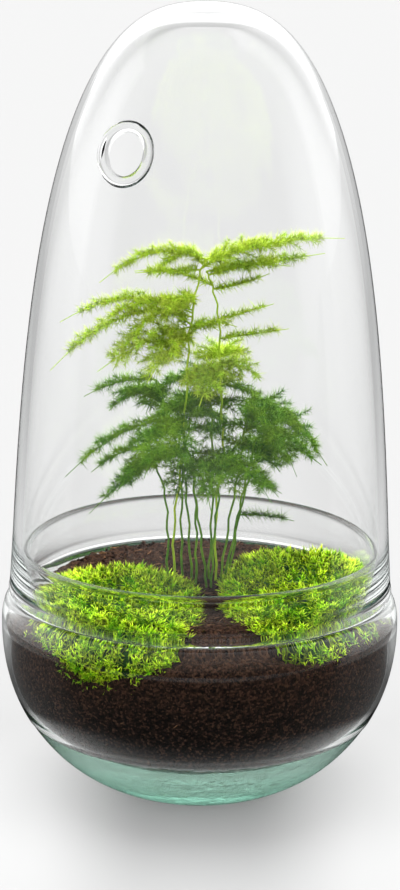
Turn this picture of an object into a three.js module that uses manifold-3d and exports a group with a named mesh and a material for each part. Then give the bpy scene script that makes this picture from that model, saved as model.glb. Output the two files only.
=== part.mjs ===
// A closed glass terrarium: a heavy glass bowl of soil with two moss cushions and a feathery fern,
// under a tall egg-shaped glass dome that rests on the bowl's ledge and lifts off.
// Millimetres, +Z up, the origin at the middle of the foot. The dome's vent looks to the front left.

import * as THREE from "three";
import { mergeVertices } from "three/addons/utils/BufferGeometryUtils.js";
import Module from "manifold-3d";

const wasm = await Module();
wasm.setup();

// Driving dimensions of the glass
const ROUND_SIDES = 36;
const TOUCH_GAP = 0.3;
const SMALLEST_EDGE = 0.01;

const BELLY_RADIUS = 90;
const BELLY_HEIGHT = 79;
const BOWL_DEPTH = 83.7;
const BOWL_SQUARENESS = 2.2;
const WALL_AT_BELLY = 4.1;
const BASE_THICKNESS = 10;
const INSIDE_SQUARENESS = 2.3;
const LEDGE_HEIGHT = 91;
const COLLAR_RADIUS = 81;
const COLLAR_TOP = 114;
const COLLAR_WALL = 2.8;

const DOME_RADIUS = 86.4;
const DOME_TOP = 361;
const DOME_WALL = 4.2;
const DOME_CROWN_WALL = 3.8;
const DOME_TAPER = 0.14;
const DOME_RISE_POWER = 3.15;
const DOME_ROUND_POWER = 2.7;
const DOME_FOOT = LEDGE_HEIGHT + TOUCH_GAP;
const DOME_FOOT_ROUND = 0.5;

const VENT_TURN = 36.5;
const VENT_HEIGHT = 303.5;
const VENT_TILT = 18.3;
const VENT_RING_RADIUS = 12.1;
const VENT_LIP_RADIUS = 2.6;

// Driving dimensions of what grows inside
const SOIL_EDGE_HEIGHT = 84;
const SOIL_MOUND = 9.5;
const SOIL_RINGS = [83.6, 76, 66, 52, 34, 17];
const STEM_RADIUS = 0.6;
const STEM_DEPTH = 14;
const HOLE_CLEARANCE = 0.35;
const NEEDLE_LENGTH = 3.8;
const NEEDLE_RADIUS = 0.36;
const TWIG_RADIUS = 0.45;
const FROND_CLEARANCE = 0.4;
const DOME_CLEARANCE = 1.0;
const SPRAY_BENDS = [0, 1.5, -1.5, 3, -3, 4.5, -4.5, 6];
const WHORL_SPACING = 7.4;
const WHORL_BAND = 0.8;
const BRANCH_SPACING = 24;
const BRANCHED_FROM = 8;

const GLASS = { color: 0xeef4f1, roughness: 0.03, metalness: 0, transparent: true, opacity: 0.3 };
const SOIL = { color: 0x2e1f17, roughness: 0.95, metalness: 0 };
const MOSS = { color: 0x6f9e1e, roughness: 0.8, metalness: 0 };
const YOUNG_FERN = { color: 0xa4cc1c, roughness: 0.6, metalness: 0 };
const GROWN_FERN = { color: 0x4b8f2c, roughness: 0.6, metalness: 0 };

// Each frond is a wiry stem from the soil up, then its sprays: the share of the stem's height where the
// spray leaves, its turn round the plant (0 is right, 90 is back, 180 is left, 270 is front), its reach,
// how far it arches, the height of its tip over its start, and its broadest half width.
const FRONDS = [
  {
    name: "fern_frond_01", finish: YOUNG_FERN,
    stem: [[-12, 5, 94], [-12, 5, 123], [-9, 5, 151], [-7, 5, 188], [-6, 4, 212], [-2, 4, 237], [1, 4, 245]],
    sprays: [
      { from: 1, turn: 6, reach: 63, arch: 3, tip: 9, half: 13 },
      { from: 1, turn: 176, reach: 48, arch: 8, tip: -12, half: 9 },
      { from: 0.965, turn: 194, reach: 30, arch: 0, tip: 0, half: 6 },
      { from: 0.885, turn: 236, reach: 25, arch: 2, tip: -3, half: 11 },
      { from: 0.82, turn: 181, reach: 64, arch: 12, tip: -25, half: 11 },
      { from: 0.84, turn: 169, reach: 62, arch: 8, tip: -9, half: 9 },
      { from: 0.79, turn: 201, reach: 44, arch: 3, tip: -17, half: 17 },
      { from: 0.76, turn: 238, reach: 34, arch: 3, tip: -14, half: 14 },
      { from: 0.79, turn: 342, reach: 22, arch: 2, tip: 2, half: 7 },
    ],
  },
  {
    name: "fern_frond_02", finish: YOUNG_FERN,
    stem: [[7, 7, 94], [7, 8, 132], [10, 9, 150], [9, 10, 170], [8, 10, 189], [7, 11, 215], [4, 10, 231], [1, 10, 238]],
    sprays: [
      { from: 1, turn: 5, reach: 54, arch: 0, tip: 8, half: 9 },
      { from: 0.94, turn: 346, reach: 26, arch: -1, tip: 9, half: 5 },
      { from: 0.95, turn: 171, reach: 36, arch: 3, tip: 5, half: 5 },
      { from: 0.84, turn: 14, reach: 26, arch: 0, tip: 6, half: 4 },
      { from: 0.78, turn: 345, reach: 32, arch: 0, tip: 7, half: 5 },
      { from: 0.72, turn: 78, reach: 34, arch: 4, tip: -10, half: 14 },
      { from: 0.68, turn: 252, reach: 31, arch: 4, tip: -9, half: 14 },
      { from: 0.7, turn: 338, reach: 20, arch: 3, tip: -6, half: 10 },
    ],
  },
  {
    name: "fern_frond_03", finish: GROWN_FERN,
    stem: [[9, 2, 94], [13, 2, 125], [17, 1, 148], [19, 0, 165], [20, 0, 182]],
    sprays: [
      { from: 1, turn: 350, reach: 37, arch: 8, tip: -29, half: 15 },
      { from: 1, turn: 296, reach: 34, arch: 5, tip: -16, half: 13 },
      { from: 0.93, turn: 28, reach: 32, arch: 6, tip: -18, half: 13 },
      { from: 0.86, turn: 205, reach: 22, arch: 4, tip: -7, half: 11 },
    ],
  },
  {
    name: "fern_frond_04", finish: GROWN_FERN,
    stem: [[11, 6, 94], [17, 7, 125], [23, 8, 146], [26, 9, 158]],
    sprays: [
      { from: 1, turn: 6, reach: 29, arch: 4, tip: -10, half: 10 },
      { from: 0.74, turn: 338, reach: 16, arch: 1, tip: -4, half: 5 },
    ],
  },
  {
    name: "fern_frond_05", finish: GROWN_FERN,
    stem: [[4, 10, 94], [5, 12, 125], [5, 14, 155], [3, 15, 187]],
    sprays: [
      { from: 1, turn: 95, reach: 38, arch: 6, tip: -18, half: 15 },
      { from: 1, turn: 152, reach: 36, arch: 5, tip: -16, half: 13 },
      { from: 0.9, turn: 200, reach: 26, arch: 5, tip: -8, half: 12 },
      { from: 0.96, turn: 24, reach: 27, arch: 4, tip: -10, half: 12 },
    ],
  },
  {
    name: "fern_frond_06", finish: GROWN_FERN,
    stem: [[3, -3, 94], [0, -5, 119], [-3, -7, 140], [-5, -9, 156], [-11, -11, 175]],
    sprays: [
      { from: 1, turn: 189, reach: 50, arch: 7, tip: -25, half: 10 },
      { from: 1, turn: 247, reach: 36, arch: 5, tip: -18, half: 13 },
    ],
  },
  {
    name: "fern_frond_07", finish: GROWN_FERN,
    stem: [[-2, 2, 94], [-2, 2, 118], [-3, 0, 140], [-4, -2, 158]],
    sprays: [
      { from: 1, turn: 204, reach: 50, arch: 6, tip: -24, half: 9 },
      { from: 0.94, turn: 283, reach: 36, arch: 4, tip: -14, half: 12 },
      { from: 0.98, turn: 335, reach: 28, arch: 4, tip: -9, half: 11 },
    ],
  },
  {
    name: "fern_frond_08", finish: GROWN_FERN,
    stem: [[-4, 9, 94], [-6, 11, 125], [-9, 13, 149], [-16, 15, 170], [-21, 16, 186]],
    sprays: [
      { from: 1, turn: 181, reach: 33, arch: 3, tip: -8, half: 8 },
      { from: 0.92, turn: 137, reach: 34, arch: 5, tip: -14, half: 12 },
    ],
  },
  {
    name: "fern_frond_09", finish: GROWN_FERN,
    stem: [[-15, 2, 94], [-15, 1, 120], [-17, -1, 140], [-24, -4, 160]],
    sprays: [
      { from: 1, turn: 172, reach: 26, arch: 3, tip: -13, half: 8 },
      { from: 0.9, turn: 232, reach: 26, arch: 4, tip: -9, half: 9 },
    ],
  },
  {
    name: "fern_frond_10", finish: GROWN_FERN,
    stem: [[-8, 13, 94], [-9, 17, 120], [-8, 21, 145], [-5, 25, 170]],
    sprays: [
      { from: 1, turn: 118, reach: 34, arch: 5, tip: -16, half: 13 },
      { from: 0.96, turn: 58, reach: 30, arch: 4, tip: -12, half: 11 },
      { from: 0.88, turn: 165, reach: 34, arch: 4, tip: -14, half: 10 },
    ],
  },
  {
    name: "fern_frond_11", finish: GROWN_FERN,
    stem: [[13, 11, 94], [17, 15, 120], [20, 18, 138], [25, 21, 158]],
    sprays: [
      { from: 1, turn: 40, reach: 34, arch: 5, tip: -14, half: 12 },
      { from: 0.9, turn: 88, reach: 30, arch: 4, tip: -10, half: 11 },
      { from: 0.45, turn: 355, reach: 25, arch: 1, tip: -2, half: 4 },
    ],
  },
  {
    name: "fern_frond_12", finish: GROWN_FERN,
    stem: [[5, -4, 94], [6, -7, 120], [8, -10, 142], [7, -13, 160]],
    sprays: [
      { from: 1, turn: 312, reach: 36, arch: 5, tip: -15, half: 12 },
      { from: 0.93, turn: 262, reach: 32, arch: 4, tip: -10, half: 12 },
    ],
  },
];

// Moss cushions: middle, half sizes, and how deep each reaches down where the soil leaves room
const MOSSES = [
  { name: "moss_left", seed: 11, middle: [-36, -32, 84], half: [38, 53, 16], depth: 30 },
  { name: "moss_right", seed: 12, middle: [46, -12, 85], half: [37, 57, 18], depth: 24 },
];
const MOSS_TUFT_HEIGHT = 4;
const MOSS_FINENESS = 4;
const MOSS_SQUARENESS = 0.78;

// Seeded random numbers from 0 to 1
function seededRandom(seed) {
  let state = seed >>> 0;
  return () => {
    state = (state + 0x6d2b79f5) >>> 0;
    let mixed = Math.imul(state ^ (state >>> 15), 1 | state);
    mixed = (mixed + Math.imul(mixed ^ (mixed >>> 7), 61 | mixed)) ^ mixed;
    return ((mixed ^ (mixed >>> 14)) >>> 0) / 4294967296;
  };
}

// A closed geometry as a solid that can be joined and cut
function solidOf(geometry) {
  const bare = new THREE.BufferGeometry();
  const source = geometry.index ? geometry.toNonIndexed() : geometry;
  bare.setAttribute("position", source.getAttribute("position").clone());
  const merged = mergeVertices(bare, 1e-4);
  const corners = merged.index.array;
  const kept = [];
  for (let i = 0; i < corners.length; i += 3) {
    const [a, b, c] = [corners[i], corners[i + 1], corners[i + 2]];
    if (a !== b && b !== c && a !== c) kept.push(a, b, c);
  }
  return new wasm.Manifold(
    new wasm.Mesh({
      numProp: 3,
      vertProperties: new Float32Array(merged.attributes.position.array),
      triVerts: new Uint32Array(kept),
    }),
  );
}

// A solid as a geometry to draw
function geometryOf(solid) {
  const mesh = solid.simplify(SMALLEST_EDGE).getMesh();
  const geometry = new THREE.BufferGeometry();
  geometry.setAttribute("position", new THREE.BufferAttribute(new Float32Array(mesh.vertProperties), 3));
  geometry.setIndex(new THREE.BufferAttribute(new Uint32Array(mesh.triVerts), 1));
  geometry.computeVertexNormals();
  return geometry;
}

// Several solids as one
function joined(solids) {
  return solids.reduce((whole, solid) => whole.add(solid));
}

// The largest of a solid's separate bodies, without the loose scraps that cutting left
function largest(solid) {
  return solid.decompose().reduce((best, body) => (body.volume() > best.volume() ? body : best));
}

// A profile of [radius, height] points turned round the upright axis
function turned(points, sides = ROUND_SIDES) {
  const outline = points.map(([radius, height]) => new THREE.Vector2(radius, height));
  return new THREE.LatheGeometry(outline, sides).rotateX(Math.PI / 2);
}

// Radius of a squared ellipse at a height below its widest ring
function bellyRadius(radius, depth, power, height) {
  return radius * (1 - ((BELLY_HEIGHT - height) / depth) ** power) ** (1 / power);
}

// The bowl's inside from its widest ring up to the collar, drawn in by a gap
function shoulderInside(gap) {
  return [
    [BELLY_RADIUS - WALL_AT_BELLY - gap, BELLY_HEIGHT],
    [BELLY_RADIUS - 5.8 - gap, LEDGE_HEIGHT - 5 - gap / 2],
    [COLLAR_RADIUS - 0.8 - gap, LEDGE_HEIGHT - 0.4 - gap / 2],
    [COLLAR_RADIUS - COLLAR_WALL + 0.1 - gap, LEDGE_HEIGHT + 4],
    [COLLAR_RADIUS - COLLAR_WALL - gap, COLLAR_TOP - 1.6],
  ];
}

// The bowl's inside below its widest ring, from the middle of the bottom outwards
function bodyInside(gap) {
  const radius = BELLY_RADIUS - WALL_AT_BELLY;
  const depth = BELLY_HEIGHT - BASE_THICKNESS;
  const points = [[0, BASE_THICKNESS + gap]];
  for (const height of [12, 19, 30, 44, 60]) {
    points.push([bellyRadius(radius, depth, INSIDE_SQUARENESS, height) - gap, height + gap / 2]);
  }
  return points;
}

// The bowl: thick base, belly, rounded shoulder, ledge for the dome, and the upright collar
function makeBowl() {
  const outside = [[0, 0]];
  for (const height of [0, 5, 13, 25, 40, 58, BELLY_HEIGHT]) {
    outside.push([bellyRadius(BELLY_RADIUS, BOWL_DEPTH, BOWL_SQUARENESS, height), height]);
  }
  const shoulder = [
    [BELLY_RADIUS - 0.4, BELLY_HEIGHT + 4.5],
    [BELLY_RADIUS - 1.8, LEDGE_HEIGHT - 3],
    [BELLY_RADIUS - 3.9, LEDGE_HEIGHT - 0.5],
    [BELLY_RADIUS - 4.8, LEDGE_HEIGHT],
    [COLLAR_RADIUS + 1.6, LEDGE_HEIGHT],
    [COLLAR_RADIUS, LEDGE_HEIGHT + 1.8],
    [COLLAR_RADIUS, COLLAR_TOP - 1.6],
    [COLLAR_RADIUS - 0.8, COLLAR_TOP],
    [COLLAR_RADIUS - 2, COLLAR_TOP],
  ];
  const inside = [...bodyInside(0), ...shoulderInside(0)].reverse();
  return solidOf(turned([...outside, ...shoulder, ...inside]));
}

// The free inside of the bowl, drawn in by a gap, which what fills it has to stay within
function makeCavity(gap) {
  return solidOf(turned([...bodyInside(gap), ...shoulderInside(gap), [0, COLLAR_TOP - 1.6]]));
}

// Radius and height of the dome's surface at an angle from its foot (0) to its crown (90 degrees)
function domePoint(angle, foot, radius, top) {
  const rise = Math.sin(angle) ** (2 / DOME_RISE_POWER);
  const round = Math.max(Math.cos(angle), 0) ** (2 / DOME_ROUND_POWER);
  return [radius * round * (1 - DOME_TAPER * rise), foot + (top - foot) * rise];
}

// The dome's surface as a profile from its foot to its crown
function domeCurve(radius, top, steps) {
  const points = [];
  for (let i = 0; i <= steps; i++) {
    points.push(domePoint((i / steps) * (Math.PI / 2), DOME_FOOT, radius, top));
  }
  points[steps][0] = 0;
  points[0][1] += DOME_FOOT_ROUND;
  return points;
}

// The dome's inner radius at a height
function domeInnerRadius(height) {
  const curve = domeCurve(DOME_RADIUS - DOME_WALL, DOME_TOP - DOME_CROWN_WALL, 90);
  const above = curve.findIndex((point) => point[1] > height);
  const [low, high] = [curve[above - 1] ?? curve[0], curve[above] ?? curve[90]];
  const share = (height - low[1]) / Math.max(high[1] - low[1], 1e-6);
  return low[0] + (high[0] - low[0]) * Math.min(Math.max(share, 0), 1);
}

// The dome: an egg-shaped bell with an even wall, and a vent with a thick round lip
function makeDome() {
  const outside = domeCurve(DOME_RADIUS, DOME_TOP, 11);
  const inside = domeCurve(DOME_RADIUS - DOME_WALL, DOME_TOP - DOME_CROWN_WALL, 10);
  const foot = [
    [DOME_RADIUS - DOME_WALL + DOME_FOOT_ROUND, DOME_FOOT],
    [DOME_RADIUS - DOME_FOOT_ROUND, DOME_FOOT],
  ];
  const bell = solidOf(turned([...foot, ...outside, ...inside.reverse(), foot[0]]));
  const turn = THREE.MathUtils.degToRad(VENT_TURN);
  const tilt = THREE.MathUtils.degToRad(VENT_TILT);
  const outward = new THREE.Vector3(
    -Math.sin(turn) * Math.cos(tilt),
    -Math.cos(turn) * Math.cos(tilt),
    Math.sin(tilt),
  );
  const radius = domeInnerRadius(VENT_HEIGHT) + DOME_WALL / 2;
  const middle = new THREE.Vector3(-Math.sin(turn) * radius, -Math.cos(turn) * radius, VENT_HEIGHT);
  const seat = new THREE.Matrix4()
    .makeTranslation(middle)
    .multiply(new THREE.Matrix4().makeRotationFromQuaternion(turnFromZ(outward)));
  const cut = new THREE.CylinderGeometry(VENT_RING_RADIUS, VENT_RING_RADIUS, 24, 20)
    .rotateX(Math.PI / 2)
    .applyMatrix4(seat);
  const lip = new THREE.TorusGeometry(VENT_RING_RADIUS, VENT_LIP_RADIUS, 8, 20).applyMatrix4(seat);
  return bell.subtract(solidOf(cut)).add(solidOf(lip));
}

// The turn that takes +Z to a direction
function turnFromZ(direction) {
  return new THREE.Quaternion().setFromUnitVectors(new THREE.Vector3(0, 0, 1), direction);
}

// A soft step from 0 to 1
function smoothStep(value) {
  const t = Math.min(Math.max(value, 0), 1);
  return t * t * (3 - 2 * t);
}

// Height of the soil's crumbly top: a low mound, higher at the back, let down under the moss at the front
function soilHeight(x, y) {
  const radius = Math.hypot(x, y);
  const mound = SOIL_MOUND * smoothStep((82 - radius) / 15);
  const back = 1.2 * smoothStep((y + 20) / 60) * smoothStep((80 - radius) / 20);
  const crumbs = 0.8 * Math.sin(x * 0.41 + 1.3 * Math.sin(y * 0.23)) * Math.cos(y * 0.37 + 0.6);
  const recess = 12 * Math.exp(-(((x + 45) / 26) ** 2 + ((y + 70) / 18) ** 2));
  const recessRight = 4 * Math.exp(-(((x - 45) / 20) ** 2 + ((y + 66) / 12) ** 2));
  return SOIL_EDGE_HEIGHT + mound + back + crumbs - recess - recessRight;
}

// Soil that fills the bowl to its shoulder, under a crumbly top
function makeSoil() {
  const brim = BELLY_RADIUS - WALL_AT_BELLY - TOUCH_GAP;
  const wall = bodyInside(TOUCH_GAP);
  const lastWall = wall[wall.length - 1];
  const slope = (brim - lastWall[0]) / (BELLY_HEIGHT - lastWall[1]);
  const top = SOIL_RINGS.map((radius) => [radius, SOIL_EDGE_HEIGHT]);
  const geometry = turned([...wall, [brim, BELLY_HEIGHT], ...top, [0, SOIL_EDGE_HEIGHT]]);
  const position = geometry.getAttribute("position");
  for (let i = 0; i < position.count; i++) {
    const [x, y, z] = [position.getX(i), position.getY(i), position.getZ(i)];
    if (z < BELLY_HEIGHT - 0.1) continue;
    const onBrim = z < SOIL_EDGE_HEIGHT - 0.1;
    const height = onBrim ? Math.min(BELLY_HEIGHT, soilHeight(x, y) - 1) : soilHeight(x, y);
    const share = onBrim ? (lastWall[0] + slope * (height - lastWall[1])) / brim : 1;
    position.setXYZ(i, x * share, y * share, height);
  }
  return solidOf(geometry);
}

// A rounded cushion whose every facet is drawn out into a pointed tuft, cut to the bowl and bedded on the soil
function makeMoss(moss, cavity, bed) {
  const random = seededRandom(moss.seed);
  const ball = new THREE.IcosahedronGeometry(1, MOSS_FINENESS).getAttribute("position");
  const corners = [];
  const onMound = (direction) => {
    const drop = direction.z < 0 ? moss.depth : moss.half[2];
    const [x, y, z] = direction.toArray().map((part) => Math.sign(part) * Math.abs(part) ** MOSS_SQUARENESS);
    return new THREE.Vector3(
      moss.middle[0] + moss.half[0] * x,
      moss.middle[1] + moss.half[1] * y,
      moss.middle[2] + drop * z,
    );
  };
  for (let i = 0; i < ball.count; i += 3) {
    const facet = [0, 1, 2].map((k) => onMound(new THREE.Vector3().fromBufferAttribute(ball, i + k)));
    const tip = facet[0].clone().add(facet[1]).add(facet[2]).divideScalar(3);
    const outward = new THREE.Triangle(...facet).getNormal(new THREE.Vector3());
    const lean = new THREE.Vector3(random() - 0.5, random() - 0.5, 1).multiplyScalar(0.5);
    tip.addScaledVector(outward.add(lean).normalize(), MOSS_TUFT_HEIGHT * (0.7 + 0.6 * random()));
    for (let k = 0; k < 3; k++) corners.push(facet[k], facet[(k + 1) % 3], tip);
  }
  const tufted = new THREE.BufferGeometry().setFromPoints(corners);
  return largest(solidOf(tufted).intersect(cavity).subtract(bed));
}

// A closed tube along a curve, thinning from its root to its tip, with a ring at each share of its length
function taperedTube(curve, rootRadius, tipRadius, sides, shares) {
  const steps = shares.length - 1;
  const geometry = new THREE.CylinderGeometry(1, 1, 1, sides, steps);
  const position = geometry.getAttribute("position");
  const level = new THREE.Vector3();
  for (let i = 0; i < position.count; i++) {
    const share = shares[Math.round((position.getY(i) + 0.5) * steps)];
    const radius = rootRadius + (tipRadius - rootRadius) * share;
    const { side, under } = frameAt(curve, share);
    level.copy(curve.getPointAt(share));
    level.addScaledVector(side, position.getX(i) * radius);
    level.addScaledVector(under, position.getZ(i) * radius);
    position.setXYZ(i, level.x, level.y, level.z);
  }
  return geometry;
}

// Directions at a share of a curve: along it, to its left, and under it
function frameAt(curve, share) {
  const along = curve.getTangentAt(share);
  const upright = Math.abs(along.z) > 0.85;
  const side = upright ? new THREE.Vector3(0, 1, 0) : new THREE.Vector3(-along.y, along.x, 0).normalize();
  side.addScaledVector(along, -side.dot(along)).normalize();
  return { along, side, under: side.clone().cross(along) };
}

// A three-sided twig with a narrow band at each whorl. From a band's three faces, which look left, up and
// right, spikes are drawn out: side twigs or needles.
function whorledTwig(curve, rootRadius, tipRadius, whorls, frond) {
  const band = WHORL_BAND / curve.getLength();
  const shares = [0, ...whorls.flatMap((whorl) => [whorl.share, whorl.share + band]), 1];
  const steps = shares.length - 1;
  const geometry = taperedTube(curve, rootRadius, tipRadius, 3, shares);
  const position = geometry.getAttribute("position");
  const points = [...Array(position.count)].map((_, i) => new THREE.Vector3().fromBufferAttribute(position, i));
  const corners = [...geometry.index.array];
  whorls.forEach((whorl, i) => {
    const row = steps - 2 * (i + 1);
    whorl.spikes.forEach((reach, face) => {
      const at = (face * steps + row) * 6;
      const [a, b, d, , c] = corners.slice(at, at + 5);
      const root = points[a].clone().add(points[b]).add(points[c]).add(points[d]).divideScalar(4);
      const stretch = { from: root, to: root.clone().add(reach), radius: NEEDLE_RADIUS, frond };
      if (!isClear(stretch)) return;
      placed.push(stretch);
      const tip = points.push(stretch.to) - 1;
      corners.splice(at, 6, a, b, tip, b, c, tip);
      corners.push(c, d, tip, d, a, tip);
    });
  });
  return solidOf(new THREE.BufferGeometry().setFromPoints(corners.map((corner) => points[corner])));
}

// Points of a spray's main twig, from the stem out to its tip
function sprayPoints(start, spray, bend) {
  const turn = THREE.MathUtils.degToRad(spray.turn);
  const points = [];
  for (let i = 0; i <= 5; i++) {
    const share = i / 5;
    const height = spray.tip * share + (spray.arch + bend) * 4 * share * (1 - share);
    points.push(
      new THREE.Vector3(
        start.x + Math.cos(turn) * spray.reach * share,
        start.y + Math.sin(turn) * spray.reach * share,
        start.z + height,
      ),
    );
  }
  return points;
}

// The smallest distance between two straight stretches
function stretchDistance(a, b) {
  const [u, v, w] = [a.to.clone().sub(a.from), b.to.clone().sub(b.from), a.from.clone().sub(b.from)];
  const [uu, uv, vv, uw, vw] = [u.dot(u), u.dot(v), v.dot(v), u.dot(w), v.dot(w)];
  const det = uu * vv - uv * uv;
  let s = det > 1e-9 ? THREE.MathUtils.clamp((uv * vw - vv * uw) / det, 0, 1) : 0;
  const t = THREE.MathUtils.clamp((uv * s + vw) / vv, 0, 1);
  s = THREE.MathUtils.clamp((uv * t - uw) / uu, 0, 1);
  return w.addScaledVector(u, s).addScaledVector(v, -t).length();
}

// What is already placed, so that each new twig or needle stays clear of the other fronds and the dome
const placed = [];

// Whether a stretch keeps off the dome and off every other frond
function isClear(stretch) {
  const { to } = stretch;
  if (Math.hypot(to.x, to.y) > domeInnerRadius(to.z) - DOME_CLEARANCE) return false;
  return placed.every(
    (other) =>
      other.frond === stretch.frond ||
      stretchDistance(stretch, other) > stretch.radius + other.radius + FROND_CLEARANCE,
  );
}

// The straight stretches between a row of points
function stretchesOf(points, radius, frond) {
  return points.slice(1).map((to, i) => ({ from: points[i], to, radius, frond }));
}

// Each stem stands in the soil and is in the way of the others from the start
function placeStems() {
  for (const frond of FRONDS) {
    const [x, y, z] = frond.stem[0];
    const above = frond.stem.map((point) => new THREE.Vector3(...point));
    frond.points = [new THREE.Vector3(x, y, z - STEM_DEPTH), ...above];
    frond.above = new THREE.CatmullRomCurve3(above, false, "centripetal");
    placed.push(...stretchesOf(frond.points, STEM_RADIUS, frond.name));
  }
}

// Each spray leaves its stem and is bent up or down until it is clear of its neighbours
function placeSprays() {
  for (const frond of FRONDS) {
    for (const spray of frond.sprays) {
      const start = frond.above.getPointAt(spray.from);
      const ways = SPRAY_BENDS.map((bend) => sprayPoints(start, spray, bend));
      const isFree = (points) => stretchesOf(points, TWIG_RADIUS + 0.2, frond.name).every(isClear);
      const way = ways.find(isFree) ?? ways[0];
      spray.curve = new THREE.CatmullRomCurve3(way, false, "centripetal");
      placed.push(...stretchesOf(way, TWIG_RADIUS, frond.name));
    }
  }
}

// How long the side twigs are at a share of a spray: longest near its middle, short at its tip
function sideLength(spray, share) {
  return NEEDLE_LENGTH + (spray.half - NEEDLE_LENGTH) * Math.sin(Math.PI * (0.22 + 0.74 * share));
}

// A spray's main twig with its whorls of side twigs, and a few longer side twigs with needles of their own
function growSpray(frond, spray, random) {
  const { curve } = spray;
  const count = Math.round(spray.reach / WHORL_SPACING);
  const whorls = [];
  for (let i = 0; i < count; i++) {
    const share = 0.1 + (0.86 * (i + 0.4 * random())) / count;
    const { along, side } = frameAt(curve, share);
    const length = sideLength(spray, share);
    const sideways = (sign) =>
      side.clone().multiplyScalar(sign).addScaledVector(along, 0.6 + 0.3 * random())
        .setZ((random() - 0.5) * 0.3).setLength(length * (0.8 + 0.3 * random()));
    const upwards = new THREE.Vector3((random() - 0.5) * 0.8, (random() - 0.5) * 0.8, 1)
      .addScaledVector(along, 0.5).setLength(NEEDLE_LENGTH);
    whorls.push({ share, spikes: [sideways(1), upwards, sideways(-1)] });
  }
  const pieces = [whorledTwig(curve, TWIG_RADIUS + 0.15, NEEDLE_RADIUS, whorls, frond.name)];
  const branches = spray.half < BRANCHED_FROM ? 0 : Math.round(spray.reach / BRANCH_SPACING);
  for (let i = 0; i < branches; i++) {
    const share = 0.14 + (0.66 * i) / branches;
    const { along, side } = frameAt(curve, share);
    const direction = side.multiplyScalar(i % 2 ? -1 : 1).addScaledVector(along, 0.75).setZ(0.05);
    const branch = growBranch(frond, curve.getPointAt(share), direction, sideLength(spray, share) + 1.5, random);
    if (branch) pieces.push(branch);
  }
  return pieces;
}

// A longer side twig with two whorls of needles, or nothing where it would cross a neighbour
function growBranch(frond, root, direction, length, random) {
  const tip = root.clone().addScaledVector(direction.normalize(), length);
  const middle = root.clone().lerp(tip, 0.5);
  middle.z += 0.8;
  const way = [root, middle, tip];
  if (!stretchesOf(way, TWIG_RADIUS, frond.name).every(isClear)) return null;
  placed.push(...stretchesOf(way, TWIG_RADIUS, frond.name));
  const curve = new THREE.CatmullRomCurve3(way, false, "centripetal");
  const whorls = [0.45, 0.82].map((share) => {
    const { along, side, under } = frameAt(curve, share);
    const needle = (outward) => outward.clone().addScaledVector(along, 0.5 + 0.4 * random()).setLength(NEEDLE_LENGTH);
    return { share, spikes: [needle(side), needle(under.negate()), needle(side.clone().negate())] };
  });
  return whorledTwig(curve, TWIG_RADIUS, NEEDLE_RADIUS, whorls, frond.name);
}

// A frond as one body: its stem with every spray fused on
function makeFrond(frond, index) {
  const random = seededRandom(100 + index);
  const curve = new THREE.CatmullRomCurve3(frond.points, false, "centripetal");
  const shares = [...Array(frond.points.length + 1)].map((_, i) => i / frond.points.length);
  const pieces = [solidOf(taperedTube(curve, STEM_RADIUS, TWIG_RADIUS, 4, shares))];
  for (const spray of frond.sprays) pieces.push(...growSpray(frond, spray, random));
  return largest(joined(pieces));
}

// A plain hole for a frond's stem, a little wider and deeper than the stem
function stemHole(frond) {
  const [foot, ground, above] = frond.points;
  const low = foot.clone();
  low.z -= TOUCH_GAP;
  const curve = new THREE.CatmullRomCurve3([low, ground, ground.clone().lerp(above, 0.6)], false, "centripetal");
  const radius = STEM_RADIUS + HOLE_CLEARANCE;
  return solidOf(taperedTube(curve, radius, radius + 0.3, 6, [0, 0.45, 1]));
}

const terrarium = new THREE.Group();

// One named piece of the terrarium
function place(name, solid, finish) {
  const mesh = new THREE.Mesh(geometryOf(solid), new THREE.MeshStandardMaterial(finish));
  mesh.name = name;
  terrarium.add(mesh);
}

placeStems();
placeSprays();

const holes = joined(FRONDS.map(stemHole));
const soil = makeSoil();
const bed = soil.translate([0, 0, TOUCH_GAP]).add(soil);
const cavity = makeCavity(TOUCH_GAP + 0.1);

place("glass_bowl", makeBowl(), GLASS);
place("glass_dome", makeDome(), GLASS);
place("soil", soil.subtract(holes), SOIL);
for (const moss of MOSSES) place(moss.name, makeMoss(moss, cavity, bed).subtract(holes), MOSS);
FRONDS.forEach((frond, index) => place(frond.name, makeFrond(frond, index), frond.finish));

export default terrarium;
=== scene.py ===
"""A closed glass terrarium: a fern and moss on dark compost, in a thick bowl under a tall glass dome.

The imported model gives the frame. Every piece that shows is made here round it: clear glass with its real
wall thickness, the fern's needles, the moss leaves and the crumbs of compost. Tables are in millimetres, as
on a drawing, and mm() turns them to Blender's metres. The front is -Y and the terrarium stands on z = 0.
"""

from __future__ import annotations

import logging
import math
import random
from dataclasses import dataclass, field
from enum import Enum
from functools import cached_property
from typing import Any, Callable, Iterable, Sequence

import bmesh
import bpy
from mathutils import Matrix, Vector, noise

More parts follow.
